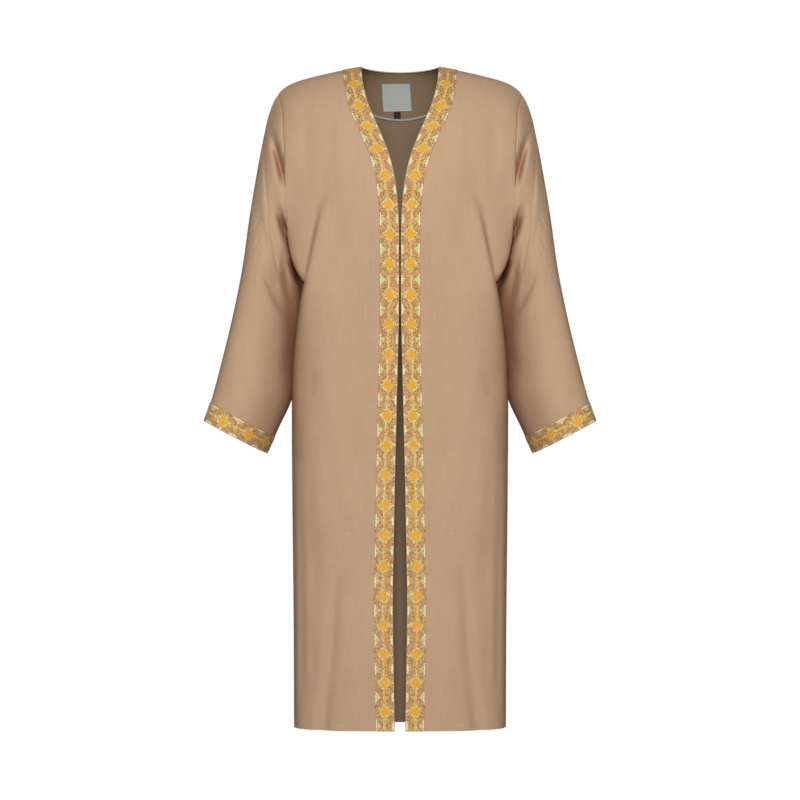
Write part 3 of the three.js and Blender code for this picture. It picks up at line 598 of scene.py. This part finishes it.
class Look:
    """A material with a Principled shader, and the few nodes that its textures need."""

    def __init__(self, name, roughness, sheen=0.0, specular=0.3):
        self.material = bpy.data.materials.new(name)
        self.material.use_nodes = True
        self.tree = self.material.node_tree
        self.shader = self.tree.nodes["Principled BSDF"]
        self.shader.inputs["Roughness"].default_value = roughness
        self.shader.inputs["Sheen Weight"].default_value = sheen
        self.shader.inputs["Sheen Roughness"].default_value = 0.5
        self.shader.inputs["Specular IOR Level"].default_value = specular

    def link(self, value, socket):
        self.tree.links.new(getattr(value, "socket", value), socket)

    def uv(self):
        node = self.tree.nodes.new("ShaderNodeUVMap")
        node.uv_map = "cloth"
        split = self.tree.nodes.new("ShaderNodeSeparateXYZ")
        self.tree.links.new(node.outputs[0], split.inputs[0])
        return Value(self.tree, split.outputs[0]), Value(self.tree, split.outputs[1])

    def vector(self, x, y, z=0.0):
        node = self.tree.nodes.new("ShaderNodeCombineXYZ")
        for i, v in enumerate((x, y, z)):
            if isinstance(v, Value):
                self.tree.links.new(v.socket, node.inputs[i])
            else:
                node.inputs[i].default_value = v
        return node.outputs[0]

    def noise(self, x, y, detail=2.0, roughness=0.5, z=0.0):
        node = self.tree.nodes.new("ShaderNodeTexNoise")
        node.inputs["Scale"].default_value = 1.0
        node.inputs["Detail"].default_value = detail
        node.inputs["Roughness"].default_value = roughness
        self.tree.links.new(self.vector(x, y, z), node.inputs["Vector"])
        return Value(self.tree, node.outputs["Fac"])

    def white(self, x, y):
        node = self.tree.nodes.new("ShaderNodeTexWhiteNoise")
        node.noise_dimensions = "2D"
        self.tree.links.new(self.vector(x, y), node.inputs["Vector"])
        return Value(self.tree, node.outputs["Value"])

    def openness(self, reach):
        """1 where the surface lies in the clear, towards 0 deep in a crease; the cloth uses it to paint
        shade into its creases.
        """
        node = self.tree.nodes.new("ShaderNodeAmbientOcclusion")
        node.samples = 16
        node.inputs["Distance"].default_value = reach
        return Value(self.tree, node.outputs["AO"])

    def blend(self, factor, a, b):
        node = self.tree.nodes.new("ShaderNodeMix")
        node.data_type = "RGBA"
        self.link(factor, node.inputs[0])
        for socket, v in ((node.inputs[6], a), (node.inputs[7], b)):
            if isinstance(v, tuple):
                socket.default_value = (*v, 1)
            else:
                self.link(v, socket)
        return node.outputs[2]

    def colour(self, value):
        self.link(value, self.shader.inputs["Base Color"])

    def bump(self, height, distance_mm, strength=1.0):
        node = self.tree.nodes.new("ShaderNodeBump")
        node.inputs["Distance"].default_value = distance_mm * MM
        node.inputs["Strength"].default_value = strength
        self.link(height, node.inputs["Height"])
        self.link(node.outputs[0], self.shader.inputs["Normal"])


def srgb(r, g, b):
    """Linear colour from 0 to 255 values."""
    return tuple(((c / 255 + 0.055) / 1.055) ** 2.4 if c > 10 else c / 3294.6 for c in (r, g, b))


# Painted shade: cloth with other cloth near it is coloured darker and redder, standing in for the shade in
# creases and between the sleeve and the body.
PAINTED_SHADE_REACH = 0.08  # how near, in metres, other cloth has to be for the painted shade
PAINTED_SHADE_START = 0.5  # openness below which cloth gets painted shade, darker and redder
PAINTED_SHADE_GAIN = 1.3
PAINTED_SHADE_MOST = 0.9


def cloth_look(name, light, dark, thread=0.62, crease_shade_colour=None):
    """Slubbed plain weave: fine threads both ways, with long thicker ones running down. Given a crease
    colour, it also paints shade into creases: darker and redder where other cloth is near.
    """
    look = Look(name, roughness=0.95, sheen=0.03, specular=0.08)
    look.shader.inputs["Sheen Tint"].default_value = (*light, 1)
    u, v = look.uv()
    slub = look.noise(u * 0.85, v * 0.022, detail=3, roughness=0.65)
    cross = look.noise(u * 0.03, v * 0.9, detail=2, roughness=0.6, z=7.0)
    patch = look.noise(u * 0.012, v * 0.006, detail=2)
    weave = (u * (math.tau / thread)).sin() * (v * (math.tau / thread)).sin()
    tone = slub * 0.9 + cross * 0.5 + patch * 0.6 - 0.5
    ground = look.blend(tone.max(0.0).min(1.0), dark, light)
    # Painted shade: the colour turns darker and redder where other cloth is near.
    if crease_shade_colour:
        painted_shade = look.openness(PAINTED_SHADE_REACH) * -PAINTED_SHADE_GAIN + PAINTED_SHADE_GAIN * PAINTED_SHADE_START
        ground = look.blend(painted_shade.max(0.0).min(PAINTED_SHADE_MOST), ground, crease_shade_colour)
    look.colour(ground)
    look.bump(weave * 0.35 + slub * 1.6 + cross * 0.8, 0.16)
    return look.material


THREAD = 1.0  # one step of the ribbon's chart
STEM_AT = 16.2  # from the ribbon's edge at the opening
DIAMOND_ACROSS, DIAMOND_ALONG = 9.4, 10.4  # half sizes


def tape_look(name):
    """Jacquard ribbon charted on a thread grid: diamonds on a stem, and pale steps at both edges.

    u runs from the tape's edge at the opening to its sewn edge, v along it.
    """
    look = Look(name, roughness=0.55, sheen=0.05, specular=0.4)
    u, v = look.uv()
    column, row = (u / THREAD).floor(), (v / THREAD).floor()
    u_at, v_at = column * THREAD + THREAD / 2, row * THREAD + THREAD / 2
    off = u_at - STEM_AT
    across = off.abs()
    phase = v_at / REPEAT + 0.5
    far = ((phase - phase.floor()) - 0.5).abs() * REPEAT  # 0 at a diamond
    near = far * -1 + REPEAT / 2  # 0 midway between two
    fleck = look.white(column, row)
    fleck2 = look.white(column + 37.0, (row / 2).floor())
    tone = look.noise(u * 0.35, v * 0.35, detail=2)

    size = across / DIAMOND_ACROSS + far / DIAMOND_ALONG
    diamond = size < 1.0
    stem = (off > -1.3) * (off < 1.2)
    rim = (size > 1.0) * (size < 1.26) * (fleck > 0.35)
    rim = rim.max((size > 1.26) * (size < 1.5) * (fleck2 > 0.72))
    stem_rim = (off > 1.2) * (off < 2.8) * (fleck2 > 0.4)
    stem_rim = stem_rim.max((off < -1.3) * (off > -2.6) * (fleck2 > 0.82))
    outer = u_at * -1 + TAPE_WIDTH
    outer_line = (outer < 2.6) * (outer > 0.5) * (near + outer * 1.2 < 13.0) * (fleck > 0.13)
    outer_steps = (outer / 10.5 + near / 11.5 < 1.0) * (outer > 3.4) * (fleck > 0.3)
    gap_line = (u_at < 4.2) * (u_at > 0.9) * (near + u_at * 0.8 < 10.0) * (fleck > 0.13)
    gap_steps = (u_at / 8.0 + near / 8.5 < 1.0) * (fleck > 0.4)
    gap_spot = (u_at > 0.9) * (u_at < 3.0) * (far < 1.6)
    pale_line = outer_line.max(gap_line).max(gap_spot)
    pale_fleck = outer_steps.max(gap_steps)

    brown, tan = srgb(166, 115, 60), srgb(218, 180, 126)
    ochre, rust = srgb(196, 152, 70), srgb(190, 112, 62)
    pale, cream = srgb(224, 217, 160), srgb(240, 235, 198)
    gold, deep_gold = srgb(246, 186, 44), srgb(218, 148, 30)
    dark, selvedge = srgb(118, 80, 32), srgb(205, 170, 125)
    ground = look.blend(fleck > 0.42, brown, tan)
    ground = look.blend((fleck2 > 0.7) * 0.8, ground, ochre)
    ground = look.blend((fleck2 < 0.2) * 0.8, ground, rust)
    ground = look.blend((fleck > 0.9) * 0.75, ground, pale)
    ground = look.blend((fleck2 > 0.89) * 0.75, ground, dark)
    ground = look.blend(pale_fleck, ground, pale)
    ground = look.blend(pale_line, ground, cream)
    ground = look.blend(rim.max(stem_rim), ground, pale)
    ground = look.blend(u < 0.9, ground, selvedge)
    # A thin brown line along the sewn edge: painted shadow where the tape meets the cloth.
    ground = look.blend(outer < 0.5, ground, brown)
    shine = look.blend((fleck * 0.75 + tone * 0.4 - 0.1).max(0.0).min(1.0), gold, deep_gold)
    raised = diamond.max(stem)
    look.colour(look.blend(raised, ground, shine))
    ribs = (v * (math.tau / THREAD)).sin() * 0.3 + (u * (math.tau / THREAD)).sin() * 0.3
    pattern = raised * 1.0 + pale_line * 0.6 + rim * 0.5 + pale_fleck * 0.4
    look.bump(pattern + ribs + fleck * 0.5, 0.25)
    return look.material


def plain_look(name, light, dark, roughness, thread=0.5):
    """Fine plain weave, for thread, binding, label and tab."""
    look = Look(name, roughness=roughness, sheen=0.05, specular=0.3)
    u, v = look.uv()
    fine = look.noise(u * 1.4, v * 1.4, detail=3, roughness=0.6)
    ribs = (u * (math.tau / thread)).sin() + (v * (math.tau / thread)).sin()
    look.colour(look.blend(fine, dark, light))
    look.bump(ribs * 0.4 + fine, 0.12)
    return look.material


# The cloth's colour, with a dark red-brown painted into its creases as shade.
CLOTH_LOOK = cloth_look("cloth", srgb(202, 171, 141), srgb(178, 146, 116), crease_shade_colour=srgb(146, 74, 38))
# A darker copy of the cloth for its inner faces and the neck facing: painted shade for the inside of the
# coat.
SHADED_INSIDE_LOOK = cloth_look("cloth_inside_painted_shade", srgb(131, 110, 89), srgb(112, 93, 74))
TAPE_LOOK = tape_look("tape")
BINDING_LOOK = plain_look("binding", srgb(172, 164, 153), srgb(146, 137, 126), 0.85)
LABEL_LOOK = plain_look("label", srgb(170, 173, 168), srgb(156, 159, 155), 0.6, 0.6)
TAG_LOOK = plain_look("tag", srgb(38, 38, 40), srgb(22, 22, 24), 0.6)
THREAD_LOOK = plain_look("thread", srgb(150, 102, 56), srgb(122, 80, 42), 0.6)
PALE_LOOK = plain_look("pale_thread", srgb(226, 214, 190), srgb(206, 192, 166), 0.6)


def seam_puff(grid, normal, *edges):
    """The cloth rises a little beside each named edge of the grid, which itself stays in place."""
    lift = np.ones(grid.shape[:2])
    across = np.linalg.norm(np.diff(grid, axis=1), axis=2)
    along = np.linalg.norm(np.diff(grid, axis=0), axis=2)
    zero_column = np.zeros((grid.shape[0], 1))
    zero_row = np.zeros((1, grid.shape[1]))
    distance = {
        "first column": np.concatenate([zero_column, np.cumsum(across, axis=1)], axis=1),
        "last column": np.concatenate(
            [np.cumsum(across[:, ::-1], axis=1)[:, ::-1], zero_column], axis=1),
        "first row": np.concatenate([zero_row, np.cumsum(along, axis=0)]),
        "last row": np.concatenate([np.cumsum(along[::-1], axis=0)[::-1], zero_row]),
    }
    for edge in edges:
        lift = lift * (1 - np.exp(-((distance[edge] / SEAM_REACH) ** 2)))
    return grid + normal * (lift * SEAM_PUFF - SEAM_PUFF * 0.5)[..., None] * (lift > 0)[..., None]


front, front_uv = front_grid()
back, back_uv = back_grid()
sleeve, sleeve_uv = sleeve_grid()
front = seam_puff(front, grid_normals(front), "last column", "last row")
back = seam_puff(back, grid_normals(back), "first column", "last column")
sleeve = seam_puff(sleeve, grid_normals(sleeve, True), "first row")
front_normal, back_normal = grid_normals(front), grid_normals(back)
sleeve_normal = grid_normals(sleeve, True)

hem_rows = np.array([i for i, h in enumerate(HEM_ROWS) if h <= HEM_DEPTH])
depth_in = np.full(len(LEVELS), -CLOTH)
depth_in[hem_rows] -= HEM_STEP


def add(name, obj, material_slot, *nodes):
    """Hangs a piece from the root and hides the solids it stands for."""
    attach(obj, "root")
    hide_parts(*nodes)
    return obj


def add_pair(name, obj, material_slot, node):
    """A piece of the left side, and its mirror image on the right."""
    add(name + "_left", obj, material_slot, node + "_left")
    return add(name + "_right", mirror(obj, "coat_" + name + "_right"), material_slot, node + "_right")


TURNED = len(hem_rows)
add_pair("front", shell("coat_front_left", front, front_normal, front_uv, CLOTH_LOOK,
                        inner=depth_in[:, None], inside=SHADED_INSIDE_LOOK, turned=TURNED), "cloth", "front")
add("back", shell("coat_back", back, back_normal, back_uv, CLOTH_LOOK,
                  inner=depth_in[:, None], inside=SHADED_INSIDE_LOOK), "cloth", "back")
add_pair("sleeve", shell("coat_sleeve_left", sleeve, sleeve_normal, sleeve_uv, CLOTH_LOOK,
                         tube=True, inside=SHADED_INSIDE_LOOK), "cloth", "sleeve")


def crowned(across, edge=0.35):
    """Height of a tape's face over its width: thinner at both edges."""
    return TAPE_LIFT + TAPE_THICK * (1 - edge * np.abs(2 * across - 1) ** 8)


# Front tape: the first columns of the front, moved out.
tape_grid = front[:, : TAPE_COLUMNS + 1]
tape_normal = front_normal[:, : TAPE_COLUMNS + 1]
middle = tape_grid[:, TAPE_COLUMNS // 2]
run = np.r_[0, np.cumsum(np.linalg.norm(np.diff(middle, axis=0), axis=1))]
across = np.linspace(0, 1, TAPE_COLUMNS + 1)
eased = smooth(RIBBON, "down", "eased")(-middle[:, 2])
tape_uv = np.stack(np.broadcast_arrays(
    across[None, :] * TAPE_WIDTH, (run - DIAMOND_AT + eased)[:, None] + REPEAT * 10), axis=-1)
add_pair("front_tape", shell("coat_front_tape_left", tape_grid, tape_normal, tape_uv, TAPE_LOOK,
                             outer=crowned(across)[None, :], inner=TAPE_LIFT), "tape", "front_tape")

# Cuff tape: the last rings of the sleeve, moved out.
cuff_grid = sleeve[-CUFF_RINGS - 1:]
cuff_normal = sleeve_normal[-CUFF_RINGS - 1:]
ring = np.concatenate([cuff_grid[-1], cuff_grid[-1][:1]])
round_it = np.r_[0, np.cumsum(np.linalg.norm(np.diff(ring, axis=0), axis=1))]
on_front = ring[:, 1] < cuff_grid[-1][:, 1].mean()
start = np.argmin(np.abs(ring[:, 0] - CUFF_DIAMOND_X) + np.where(on_front, 0, 1e3))
across = np.linspace(0, 1, CUFF_RINGS + 1)
cuff_uv = np.stack(np.broadcast_arrays(
    (1 - across[:, None]) * TAPE_WIDTH, (round_it - round_it[start])[None, :] + REPEAT * 10), axis=-1)
add_pair("cuff_tape", shell("coat_cuff_tape_left", cuff_grid, cuff_normal, cuff_uv, TAPE_LOOK,
                            outer=crowned(across)[:, None], inner=TAPE_LIFT, tube=True),
         "tape", "cuff_tape")


# Back neck tape: marched out over the back's own surface from the neck edge.
def surface_tree(grid):
    """A grid's faces, to find its nearest points."""
    rows, columns = grid.shape[:2]
    index = np.arange(rows * columns).reshape(rows, columns)
    quads = np.stack([index[:-1, :-1], index[:-1, 1:], index[1:, 1:], index[1:, :-1]], axis=-1)
    return BVHTree.FromPolygons(grid.reshape(-1, 3).tolist(), quads.reshape(-1, 4).tolist())


def neck_tape_grid(steps=22, stations=72):
    """Lines over the back from the neck's edge, one for each station round the neck."""
    tree = surface_tree(back[ARMPIT_ROW:])
    angle = np.linspace(0, math.pi, stations + 1)
    x = NECK_HALF * np.cos(angle)
    y, z = neck_line(np.abs(x))
    edge = np.stack([x, y, z], axis=-1)
    tangent = np.gradient(edge, axis=0)
    tangent[0], tangent[-1] = (0, 1, 0), (0, -1, 0)
    rows = []
    for p, t in zip(edge, tangent):
        t = Vector(t).normalized()
        here, normal = tree.find_nearest(Vector(p))[:2]
        line = [np.array(here)]
        heading = Vector((p[0], p[1], -20 - p[2]))  # out from the neck and down
        for _ in range(steps):
            way = t.cross(normal)
            if way.dot(heading) < 0:
                way.negate()
            heading = way.normalized()
            here, normal = tree.find_nearest(here + heading * (TAPE_WIDTH / steps))[:2]
            line.append(np.array(here))
        rows.append(line)
    return np.array(rows)


neck_tape = neck_tape_grid()
neck_normal = grid_normals(neck_tape)
if neck_normal[len(neck_tape) // 2, 5, 1] < 0:
    neck_tape = neck_tape[::-1]
    neck_normal = grid_normals(neck_tape)
middle = neck_tape[:, neck_tape.shape[1] // 2]
run = np.r_[0, np.cumsum(np.linalg.norm(np.diff(middle, axis=0), axis=1))]
across = np.linspace(0, 1, neck_tape.shape[1])
neck_uv = np.stack(np.broadcast_arrays(
    across[None, :] * TAPE_WIDTH, (run - run[-1] / 2)[:, None] + REPEAT * 10), axis=-1)
add("back_neck_tape", shell("coat_back_neck_tape", neck_tape, neck_normal, neck_uv, TAPE_LOOK,
                            outer=crowned(across)[None, :], inner=TAPE_LIFT), "tape", "back_neck_tape")


# ---- Inside the back neck ----
def back_inside(x, z, depth):
    """Points at a depth inside the back's outer face, for places given as x and z."""
    x, z = np.broadcast_arrays(np.asarray(x, float), np.asarray(z, float))

    def at(px, pz):
        side = np.abs(px)
        top = np.where(side < NECK_HALF, neck_line(side)[1], shoulder_line(side))
        level = 1 + clamp((pz + ARMPIT) / (ARMPIT + top), 0, 0.9995)
        p = body_point("back", level, side)
        return np.stack([px, p[..., 1], p[..., 2]], axis=-1)

    here = at(x, z)
    dx = at(x + 0.5, z) - at(x - 0.5, z)
    dz = at(x, z + 0.5) - at(x, z - 0.5)
    n = np.cross(dz, dx)
    n = n / np.maximum(np.linalg.norm(n, axis=-1, keepdims=True), 1e-9)
    return here - n * np.asarray(depth, float)[..., None], n


FACING_IN = CLOTH + 0.5  # outer face of the facing, inside the back
FACING_THICK = 0.7


def facing_grid(columns=110, rows=46):
    """X and Z of the half-moon facing, from its curved edge up to the neck."""
    x = np.linspace(-FACING_HALF * 0.985, FACING_HALF * 0.985, columns)
    bottom = -FACING_DROP * np.sqrt(1 - (x / FACING_HALF) ** 2)
    side = np.abs(x)
    top = np.where(side < NECK_HALF, neck_line(side)[1], shoulder_line(side)) - 1.2
    share = np.linspace(0, 1, rows)[:, None]
    z = mix(bottom, np.maximum(top, bottom + 0.8), share)
    return x[None, ::-1] + 0 * z, z[:, ::-1]


fx, fz = facing_grid()
facing_outer, _ = back_inside(fx, fz, np.full(fx.shape, FACING_IN))
facing_inner, _ = back_inside(fx, fz, np.full(fx.shape, FACING_IN + FACING_THICK))
points, faces, uvs = wall(facing_outer, facing_inner, np.stack([fx, fz], axis=-1) + FACING_CLOTH)
# The facing takes the darker inside copy of the cloth: painted shade.
add("neck_facing", make_mesh("coat_neck_facing", points, faces, SHADED_INSIDE_LOOK, uvs), "cloth", "neck_facing")

# Binding: a narrow rounded strip over the facing's curved edge.
t = np.linspace(0.04, math.pi - 0.04, 150)
w = np.linspace(0, 1, 9)
bx = (FACING_HALF + 0.5 - BINDING_WIDTH * w[:, None]) * np.cos(t)[None, :]
bz = -(FACING_DROP + 0.5 - BINDING_WIDTH * w[:, None]) * np.sin(t)[None, :]
crown = 0.3 + 0.75 * np.sqrt(clamp(1 - (2 * w - 1) ** 2))[:, None] + 0 * bx
outside, _ = back_inside(bx, bz, FACING_IN + FACING_THICK - 0.25 + 0 * bx)
inside, _ = back_inside(bx, bz, FACING_IN + FACING_THICK + crown)
points, faces, uvs = wall(outside, inside, np.stack([bx + 300, bz + 300], axis=-1))
add("facing_binding", make_mesh("coat_facing_binding", points, faces, BINDING_LOOK, uvs),
    "binding", "facing_binding")


FACE_DEPTH = FACING_IN + FACING_THICK + 0.15  # where the patches lie on the facing
PATCH_THICK = 0.6
PATCHES = table("x down width height lean lift curl", [
    (-7.5, 22, 49.5, 47.5, 4, 0, 0.8), (-5, 70, 12, 12.5, 1, 0.2, 0.6),
])


def on_patch(which, u, v, out):
    """Points of a small patch on the facing, its lower edge standing off by curl."""
    x, down, width, height, lean, lift, curl = (column[which] for column in PATCHES.values())
    lean = math.radians(lean)
    px, pz = u * width, -v * height
    wx = x + px * math.cos(lean) - pz * math.sin(lean)
    wz = -down + px * math.sin(lean) * 0.3 + pz * math.cos(lean)
    place, normal = back_inside(wx, wz, FACE_DEPTH + lift + curl * v**3 + out)
    return place, -normal, np.stack([px + 100, pz + 100], axis=-1)


u, v = np.meshgrid(np.linspace(0.5, -0.5, 30), np.linspace(1, 0, 30))
for which, (node, material, slot) in enumerate([
    ("label", LABEL_LOOK, "label"), ("size_tag", TAG_LOOK, "tag"),
]):
    low, _, uv = on_patch(which, u, v, 0.0)
    high, _, _ = on_patch(which, u, v, PATCH_THICK)
    points, faces, uvs = wall(low, high, uv)
    add(node, make_mesh("coat_" + node, points, faces, material, uvs), slot, node)


# ---- Stitches ----
def stitches(name, lines, long, gap, wide, high, material, slot):
    """Small stitches along lines, each given by its points and normals."""
    corners = []
    for line, normal in lines:
        walked = np.r_[0, np.cumsum(np.linalg.norm(np.diff(line, axis=0), axis=1))]
        at = np.arange(long, walked[-1] - long / 2, long + gap)
        c = np.stack([np.interp(at, walked, line[:, k]) for k in range(3)], axis=-1)
        n = np.stack([np.interp(at, walked, normal[:, k]) for k in range(3)], axis=-1)
        t = np.gradient(c, axis=0)
        t = t / np.linalg.norm(t, axis=1, keepdims=True)
        side = np.cross(t, n)
        corners.append(np.stack([
            c - t * long / 2, c + side * wide / 2, c + t * long / 2, c - side * wide / 2,
            c + n * high, c - n * high], axis=1))
    corners = np.concatenate(corners)
    turns = [(0, 1), (1, 2), (2, 3), (3, 0)]
    face = np.array([(a, b, 4) for a, b in turns] + [(b, a, 5) for a, b in turns])
    faces = (np.arange(len(corners))[:, None, None] * 6 + face).reshape(-1, 3)
    points = corners.reshape(-1, 3)
    obj = make_mesh(name, points, faces, material, points[faces][..., [0, 2]] + 900, 80)
    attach(obj, "root")
    return obj


def stitch_pair(name, *settings):
    obj = stitches("coat_" + name + "_left", *settings)
    other = mirror(obj, "coat_" + name + "_right")
    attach(other, "root")


def tape_lines(grid, normal):
    """Two lines along a tape's face, one near each edge."""
    last = grid.shape[1] - 1
    lines = []
    for share in (STITCH_INSET / TAPE_WIDTH, 1 - STITCH_INSET / TAPE_WIDTH):
        i = min(int(share * last), last - 1)
        n = normal[:, i]
        lines.append((mix(grid[:, i], grid[:, i + 1], share * last - i) + n * TAPE_TOP, n))
    return lines


# Each kind of stitch: its length, the gap to the next, its width and height, its look and slot.
TAPE_STITCH = (2.3, 1.2, 0.7, 0.25, THREAD_LOOK, "tape")
HEM_STITCH = (1.2, 8.0, 0.4, 0.2, CLOTH_LOOK, "cloth")
TACK = (3.4, 0.5, 0.9, 0.4, PALE_LOOK, "cloth")
LABEL_STITCH = (1.6, 1.4, 0.4, 0.2, PALE_LOOK, "label")
STITCH_INSET = 0.6  # from the tape's edges
TAPE_TOP = TAPE_LIFT + TAPE_THICK * 0.86  # height of the tape's face there

closed = [np.concatenate([g, g[:, :1]], axis=1).swapaxes(0, 1) for g in (cuff_grid, cuff_normal)]
stitch_pair("front_tape_stitches", tape_lines(tape_grid, tape_normal), *TAPE_STITCH)
stitch_pair("cuff_tape_stitches", tape_lines(*closed), *TAPE_STITCH)
stitches("coat_neck_tape_stitches", tape_lines(neck_tape, neck_normal), *TAPE_STITCH)

# Prick stitches that hold the hem, and two pale tacks on each front.
HEM_LINE = 5  # the row they follow
hem = [(front[HEM_LINE, TAPE_COLUMNS + 1:], front_normal[HEM_LINE, TAPE_COLUMNS + 1:])]
stitch_pair("front_hem_stitches", hem, *HEM_STITCH)
hem = [(back[HEM_LINE, 3:-3], back_normal[HEM_LINE, 3:-3])]
stitches("coat_back_hem_stitches", hem, *HEM_STITCH)
TACK_POINTS = 12
tacks = []
for down, near, far in [(805, 82, 93), (1133, 91, 110)]:
    x = np.linspace(near, far, TACK_POINTS)
    level = (LENGTH - down) / (LENGTH - ARMPIT)
    line = body_point("front", level, x) - [0, SEAM_PUFF * 0.5 + 0.2, 0]
    tacks.append((line, np.tile([0.0, -1, 0], (TACK_POINTS, 1))))
stitch_pair("front_tacks", tacks, *TACK)

# Round the label, a little inside its edges.
go, low, high = np.linspace(-0.46, 0.46, 40), np.full(40, 0.04), np.full(40, 0.96)
u = np.concatenate([go, high - 0.5, -go, low - 0.5])
v = np.concatenate([low, go + 0.5, high, 0.5 - go])
border = on_patch(0, u, v, PATCH_THICK)
stitches("coat_label_stitches", [border[:2]], *LABEL_STITCH)


# ---- Cut sizes ----
def area_of(grid, tube=False):
    """Area of a grid's surface in square metres."""
    if tube:
        grid = np.concatenate([grid, grid[:, :1]], axis=1)
    a, b = grid[1:, 1:] - grid[:-1, :-1], grid[1:, :-1] - grid[:-1, 1:]
    return float(np.linalg.norm(np.cross(a, b), axis=2).sum() / 2) * MM * MM


# Flat width and length in metres, area where the cut is not a rectangle, and what the piece is sewn to.
for name, size, area, rests in [
    ("front_left", (0.25, 1.19), area_of(front), ["front_tape_left"]),
    ("front_right", (0.25, 1.19), area_of(front), ["front_tape_right"]),
    ("back", (0.50, 1.17), area_of(back), ["front_left", "front_right"]),
    ("sleeve_left", (0.80, 0.66), area_of(sleeve, True), ["front_left", "back"]),
    ("sleeve_right", (0.80, 0.66), area_of(sleeve, True), ["front_right", "back"]),
    ("front_tape_left", (0.033, 1.19), None, ["front_left"]),
    ("front_tape_right", (0.033, 1.19), None, ["front_right"]),
    ("cuff_tape_left", (0.033, 0.315), None, ["sleeve_left"]),
    ("cuff_tape_right", (0.033, 0.315), None, ["sleeve_right"]),
    ("back_neck_tape", (0.033, 0.24), None, ["back"]),
    ("neck_facing", (0.225, 0.10), area_of(facing_outer), ["back"]),
    ("facing_binding", (0.31, 0.01), 0.0017, ["neck_facing"]),
    ("label", (0.0495, 0.0475), None, ["neck_facing"]),
    ("size_tag", (0.012, 0.0125), None, ["neck_facing"]),
]:
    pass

# ---- Floor, lights and camera ----
FLOOR_Z = -1.30
FLOOR_RADIUS = 1.35
bpy.ops.mesh.primitive_circle_add(
    vertices=128, radius=FLOOR_RADIUS, fill_type="NGON", location=(0, 0, FLOOR_Z))
floor = bpy.context.object
floor.name = "floor"
floor_look = Look("floor", roughness=0.9, specular=0.1)
floor_look.shader.inputs["Base Color"].default_value = (0.9, 0.9, 0.9, 1)
floor_look.shader.inputs["Emission Color"].default_value = (1, 1, 1, 1)
floor_look.shader.inputs["Emission Strength"].default_value = 0.85
floor.data.materials.append(floor_look.material)
floor.visible_diffuse = False


def area_light(name, location, target, size, power):
    data = bpy.data.lights.new(name, "AREA")
    data.shape = "RECTANGLE"
    data.size, data.size_y = size
    data.energy = power
    obj = bpy.data.objects.new(name, data)
    obj.location = location
    obj.rotation_euler = (Vector(target) - Vector(location)).to_track_quat("-Z", "Y").to_euler()
    bpy.context.scene.collection.objects.link(obj)


# Name, place and height aimed at in metres, width and height of the light, power in watts.
for name, place, aim, size, power in [
    ("key", (0.0, -4.8, 1.5), -0.35, (0.8, 1.6), 170),
    ("slot", (0.0, -5.0, 0.2), -0.5, (0.12, 1.2), 66),
    ("low", (0.0, -5.2, -1.0), -0.6, (0.8, 0.8), 48),
    ("behind", (0.0, 3.6, 0.5), -0.6, (1.8, 1.6), 150),
    ("beside_left", (4.4, 0.5, 0.4), -0.6, (1.2, 1.6), 16),
    ("beside_right", (-4.4, 0.5, 0.4), -0.6, (1.2, 1.6), 16),
]:
    area_light(name, place, (0, 0, aim), size, power)

world = bpy.data.worlds.new("studio")
world.use_nodes = True
bpy.context.scene.world = world
tree = world.node_tree
ambient = tree.nodes["Background"]
ambient.inputs["Color"].default_value = (1.0, 0.62, 0.42, 1)
ambient.inputs["Strength"].default_value = 0.04
seen = tree.nodes.new("ShaderNodeBackground")
seen.inputs["Color"].default_value = (1, 1, 1, 1)
path = tree.nodes.new("ShaderNodeLightPath")
choose = tree.nodes.new("ShaderNodeMixShader")
tree.links.new(path.outputs["Is Camera Ray"], choose.inputs[0])
tree.links.new(ambient.outputs[0], choose.inputs[1])
tree.links.new(seen.outputs[0], choose.inputs[2])
tree.links.new(choose.outputs[0], tree.nodes["World Output"].inputs[0])

scene = bpy.context.scene
scene.view_settings.view_transform = "Standard"
scene.view_settings.look = "None"

CAMERA_FAR = 5.59  # from the shoulder line, in metres
CAMERA_HEIGHT = -0.577
FRAME_WIDTH = 1.388  # what the frame spans at the shoulder line
camera_data = bpy.data.cameras.new("camera")
camera_data.sensor_width = 36.0
camera_data.lens = 36.0 * CAMERA_FAR / FRAME_WIDTH
camera = bpy.data.objects.new("camera", camera_data)
camera.location = (0.0, -CAMERA_FAR, CAMERA_HEIGHT)
camera.rotation_euler = (math.radians(90), 0, 0)
scene.collection.objects.link(camera)
scene.camera = camera
